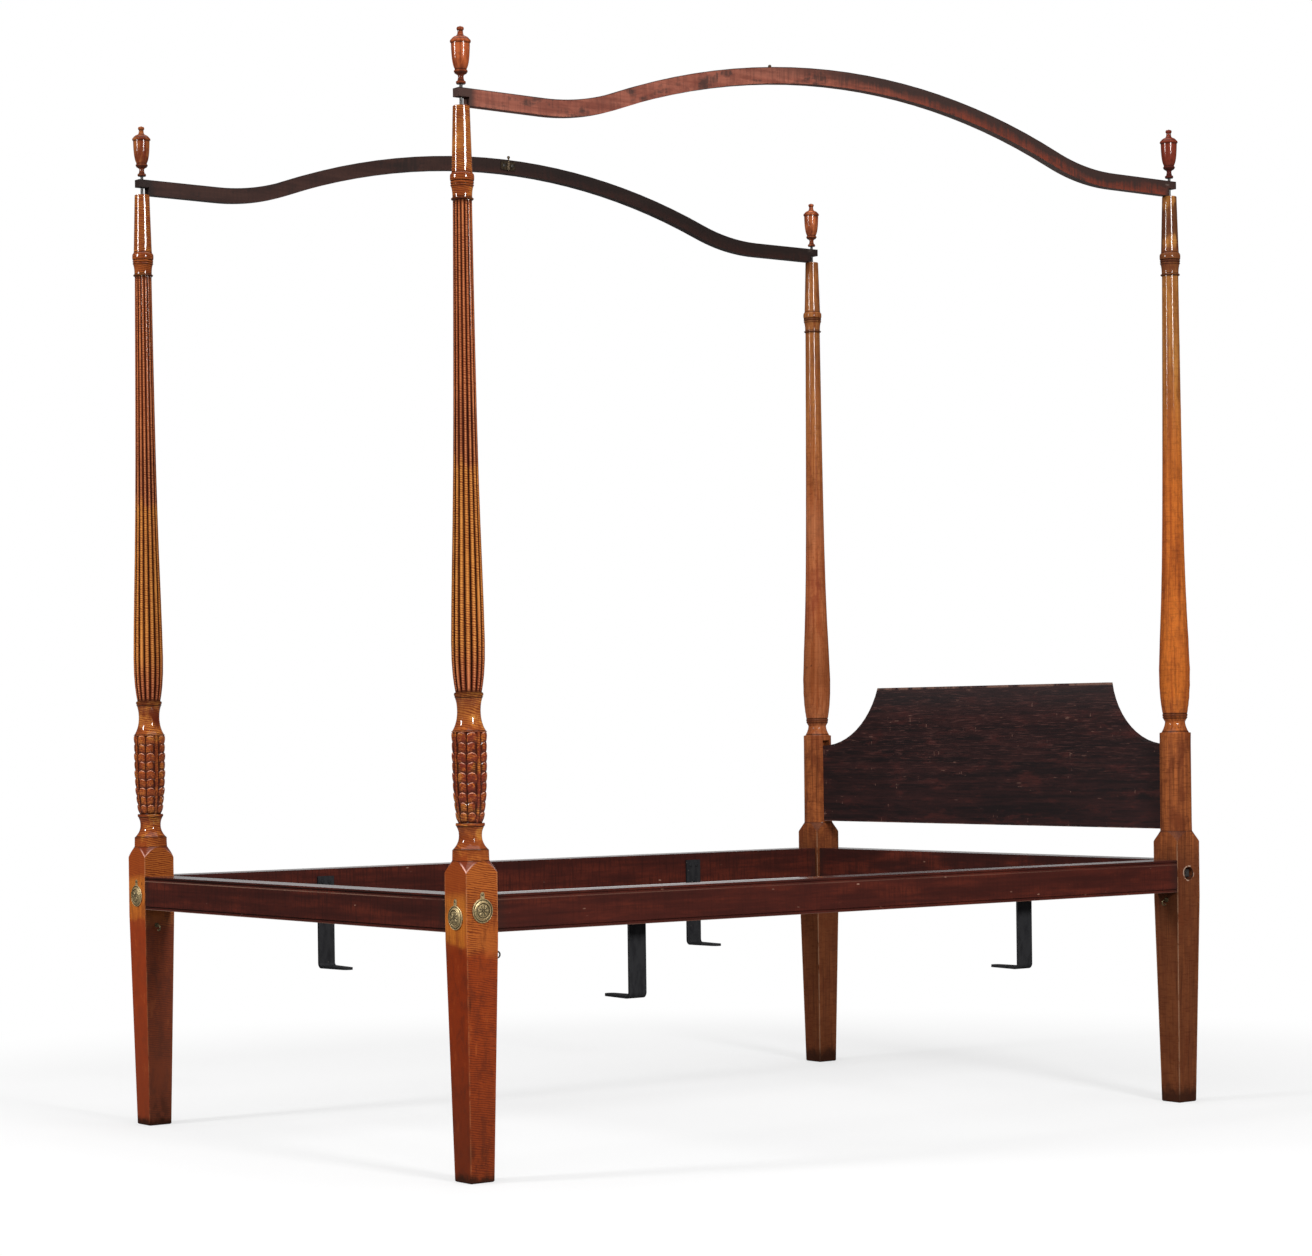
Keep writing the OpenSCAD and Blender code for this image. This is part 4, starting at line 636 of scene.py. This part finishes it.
def stamped_brass(name, side, on_side):
    s = Shader(name)
    flat = s.y + POST_Y if on_side else s.x - side * POST_X
    up = s.z - (SIDE_COVER_Z if on_side else FOOT_COVER_Z)
    radius = (flat * flat + up * up) ** 0.5
    turn = up.math("ARCTAN2", flat) / (2 * math.pi) + 1
    petals = abs((turn * PETALS).math("FRACT") - 0.5) * 2
    inside = radius.step(ROSETTE + 0.0005, ROSETTE - 0.0005)
    rosette = petals.step(0.2, 0.8) * inside * radius.step(0.0028, 0.0035)
    rings = radius.lines(*COVER_RINGS)
    tarnish = s.figure(260, 260, 4, 0.6)
    low = rings.most((1 - rosette) * inside * 0.8)
    color = s.mix(tarnish.step(0.4, 0.65), (0.76, 0.58, 0.3), (0.47, 0.36, 0.175))
    color = s.mix(low * 0.92, color, (0.045, 0.032, 0.018))
    rough = 0.34 + tarnish * 0.2 + low * 0.2
    relief = rosette - rings + tarnish * 0.2
    return s.finish(color, rough, relief, depth=0.0013, Metallic=0.7)


for name, side in (("right", 1), ("left", -1)):
    paint(stamped_brass("cover_brass_side_" + name, side, True), f"cover_{name}_side_face")
    paint(stamped_brass("cover_brass_foot_" + name, side, False), f"cover_{name}_foot_face")


# Small brass: the covers' pins, the centre hinges of the tester rails and the hooks in the legs,
# all tarnished; the near foot post's hook has gone black, and the hinges' screws are dark steel.
def aged_brass(name, light, dark, sooty=0):
    s = Shader(name)
    tarnish = s.figure(220, 220, 4, 0.6)
    soot = s.x.step(0.5, 0.6) * s.y.step(-0.4, -0.6) * sooty
    color = s.mix(tarnish.step(0.38, 0.66), light, dark)
    color = s.mix(soot, color, (0.02, 0.015, 0.012))
    rough = 0.32 + tarnish * 0.25 + soot * 0.3
    return s.finish(color, rough, tarnish, depth=0.0001, Metallic=0.85 - soot * 0.85)


SMALL_BRASS = ((0.3, 0.24, 0.13), (0.12, 0.09, 0.05))
paint(aged_brass("cover_pin_brass", *SMALL_BRASS), "cover_pins")
paint(aged_brass("hook_brass", *SMALL_BRASS, sooty=1), "post_hooks")
hinge_brass = aged_brass("hinge_brass", (0.12, 0.085, 0.05), (0.035, 0.026, 0.02))
hinge_steel = old_iron("hinge_screw_steel", (0.1, 0.09, 0.08), (0.04, 0.035, 0.03), 0.7, 0.45)
for side in ("right", "left"):
    paint(hinge_brass, f"hinge_{side}_foot_leaf", f"hinge_{side}_head_leaf", f"hinge_{side}_pin")
    paint(hinge_steel, f"hinge_{side}_screws")


# Floor: a plain white studio floor that fades into the white background far out and keeps the
# bed's soft shadow. Towards the bed it is dark, so it sends little light back up.

# The camera's directions, which the floor and the world share, and the floor's size and height
YAW, PITCH, ROLL = (math.radians(v) for v in (52.533, -0.475, -0.705))
FLOOR_SIZE, FLOOR_Z = 60, -0.0005


def rays(s):
    """1 for the rays that the camera sees directly, and 1 for those that a polish reflects."""
    camera_ray, transmission, glossy = [s.node("LightPath", {}, [], f"Is {kind} Ray")
                                        for kind in ("Camera", "Transmission", "Glossy")]
    return camera_ray.most(transmission), glossy


def backdrop(s):
    """How far a place or direction lies on the far side of the bed, seen from the camera."""
    return s.y * math.cos(YAW) - s.x * math.sin(YAW)


def white_floor():
    s = Shader("studio_floor")
    seen, glossy = rays(s)
    smudge = s.noise(s.x * 1.5, s.y * 1.5, s.z, 2)
    pale = s.mix(smudge, (0.84, 0.84, 0.84), (0.81, 0.81, 0.81))
    s.put(s.bsdf.inputs["Base Color"], s.mix(seen, (0.14, 0.14, 0.14), pale))
    s.put(s.bsdf.inputs["Roughness"], 0.9)
    reach = (s.x * s.x + s.y * s.y) ** 0.5
    far = reach.step(1.3, 2.8)
    share = seen * (0.58 + far * 0.42) + glossy * (backdrop(s) / reach).step(0.7, 0.96) * far * 0.15
    white = s.node("Emission", {}, {"Color": (1, 1, 1), "Strength": 1})
    both = s.node("MixShader", {}, [share.least(1), Val(s, s.bsdf.outputs[0]), white])
    s.tree.links.new(both.out, s.tree.nodes["Material Output"].inputs[0])
    return s.material


bpy.ops.mesh.primitive_plane_add(size=FLOOR_SIZE, location=(0, 0, FLOOR_Z))
floor = bpy.context.object
floor.name = "studio_floor"
floor.data.materials.append(white_floor())


# World: white where the camera sees it and where polished pieces reflect the backdrop behind the
# bed; the room on the camera's side is dim, and gives an even, low light.
def studio_world():
    s = Shader("studio_world", bpy.data.worlds, "Generated")
    seen, glossy = rays(s)
    behind = backdrop(s)
    reflected = 0.03 + behind.step(0.7, 0.96) * 0.12 + behind.step(0.972, 0.994) * 0.5
    room = 0.45 * (1 - glossy) + glossy * reflected
    background = s.tree.nodes["Background"]
    s.put(background.inputs["Color"], (1, 1, 1))
    s.put(background.inputs["Strength"], seen + (1 - seen) * room)
    return s.material


scene = bpy.context.scene
scene.world = studio_world()

# Camera: level with the rails' middle, looking across the near foot corner, at the photo's angle.
# The focal length and the principal point are in pixels of the photo's 1312 by 1256.
CAMERA = (5.7346, -4.4904, 0.8615)
WIDE, HIGH, FOCAL, MIDDLE_X, MIDDLE_Y = 1312, 1256, 3263.18, 635.4, 754.0
SENSOR = 36
ahead = Vector((-math.sin(YAW), math.cos(YAW), 0))
forward = ahead * math.cos(PITCH) + Vector((0, 0, math.sin(PITCH)))
level_right = Vector((math.cos(YAW), math.sin(YAW), 0))
level_up = level_right.cross(forward)
right = level_right * math.cos(ROLL) + level_up * math.sin(ROLL)
up = level_up * math.cos(ROLL) - level_right * math.sin(ROLL)
camera = bpy.data.objects.new("camera", bpy.data.cameras.new("camera"))
scene.collection.objects.link(camera)
camera.matrix_world = Matrix(
    [[right[i], up[i], -forward[i], CAMERA[i]] for i in range(3)] + [[0, 0, 0, 1]])
camera.data.sensor_width = SENSOR
camera.data.lens = SENSOR * FOCAL / WIDE
camera.data.shift_x = (WIDE / 2 - MIDDLE_X) / WIDE
camera.data.shift_y = (MIDDLE_Y - HIGH / 2) / WIDE
camera.data.clip_end = 100
scene.camera = camera
scene.view_settings.view_transform = "Standard"

# Lamps: a softbox far to the left and one to the right of the camera, both above the posts, which
# draw the two highlights on every turned part, and a broad one overhead.
toward = Vector((math.sin(YAW), -math.cos(YAW), 0))
left = Vector((-math.cos(YAW), -math.sin(YAW), 0))
AIM = Vector((0, 0, 1.0))


def softbox(name, place, power):
    lamp = bpy.data.objects.new(name, bpy.data.lights.new(name, "AREA"))
    scene.collection.objects.link(lamp)
    lamp.location = place
    lamp.data.energy = power
    return lamp


for name, angle, distance, height, size, power in (
        ("left_softbox", 62, 5.2, 2.9, (0.75, 1.1), 135),
        ("right_softbox", -30, 5.6, 2.9, (1.0, 1.1), 205)):
    a = math.radians(angle)
    place = (toward * math.cos(a) + left * math.sin(a)) * distance + Vector((0, 0, height))
    lamp = softbox(name, place, power)
    lamp.data.shape = "RECTANGLE"
    lamp.data.size, lamp.data.size_y = size
    lamp.rotation_euler = (AIM - place).to_track_quat("-Z", "Y").to_euler()
softbox("top_softbox", (0.6, -0.6, 5), 110).data.size = 5
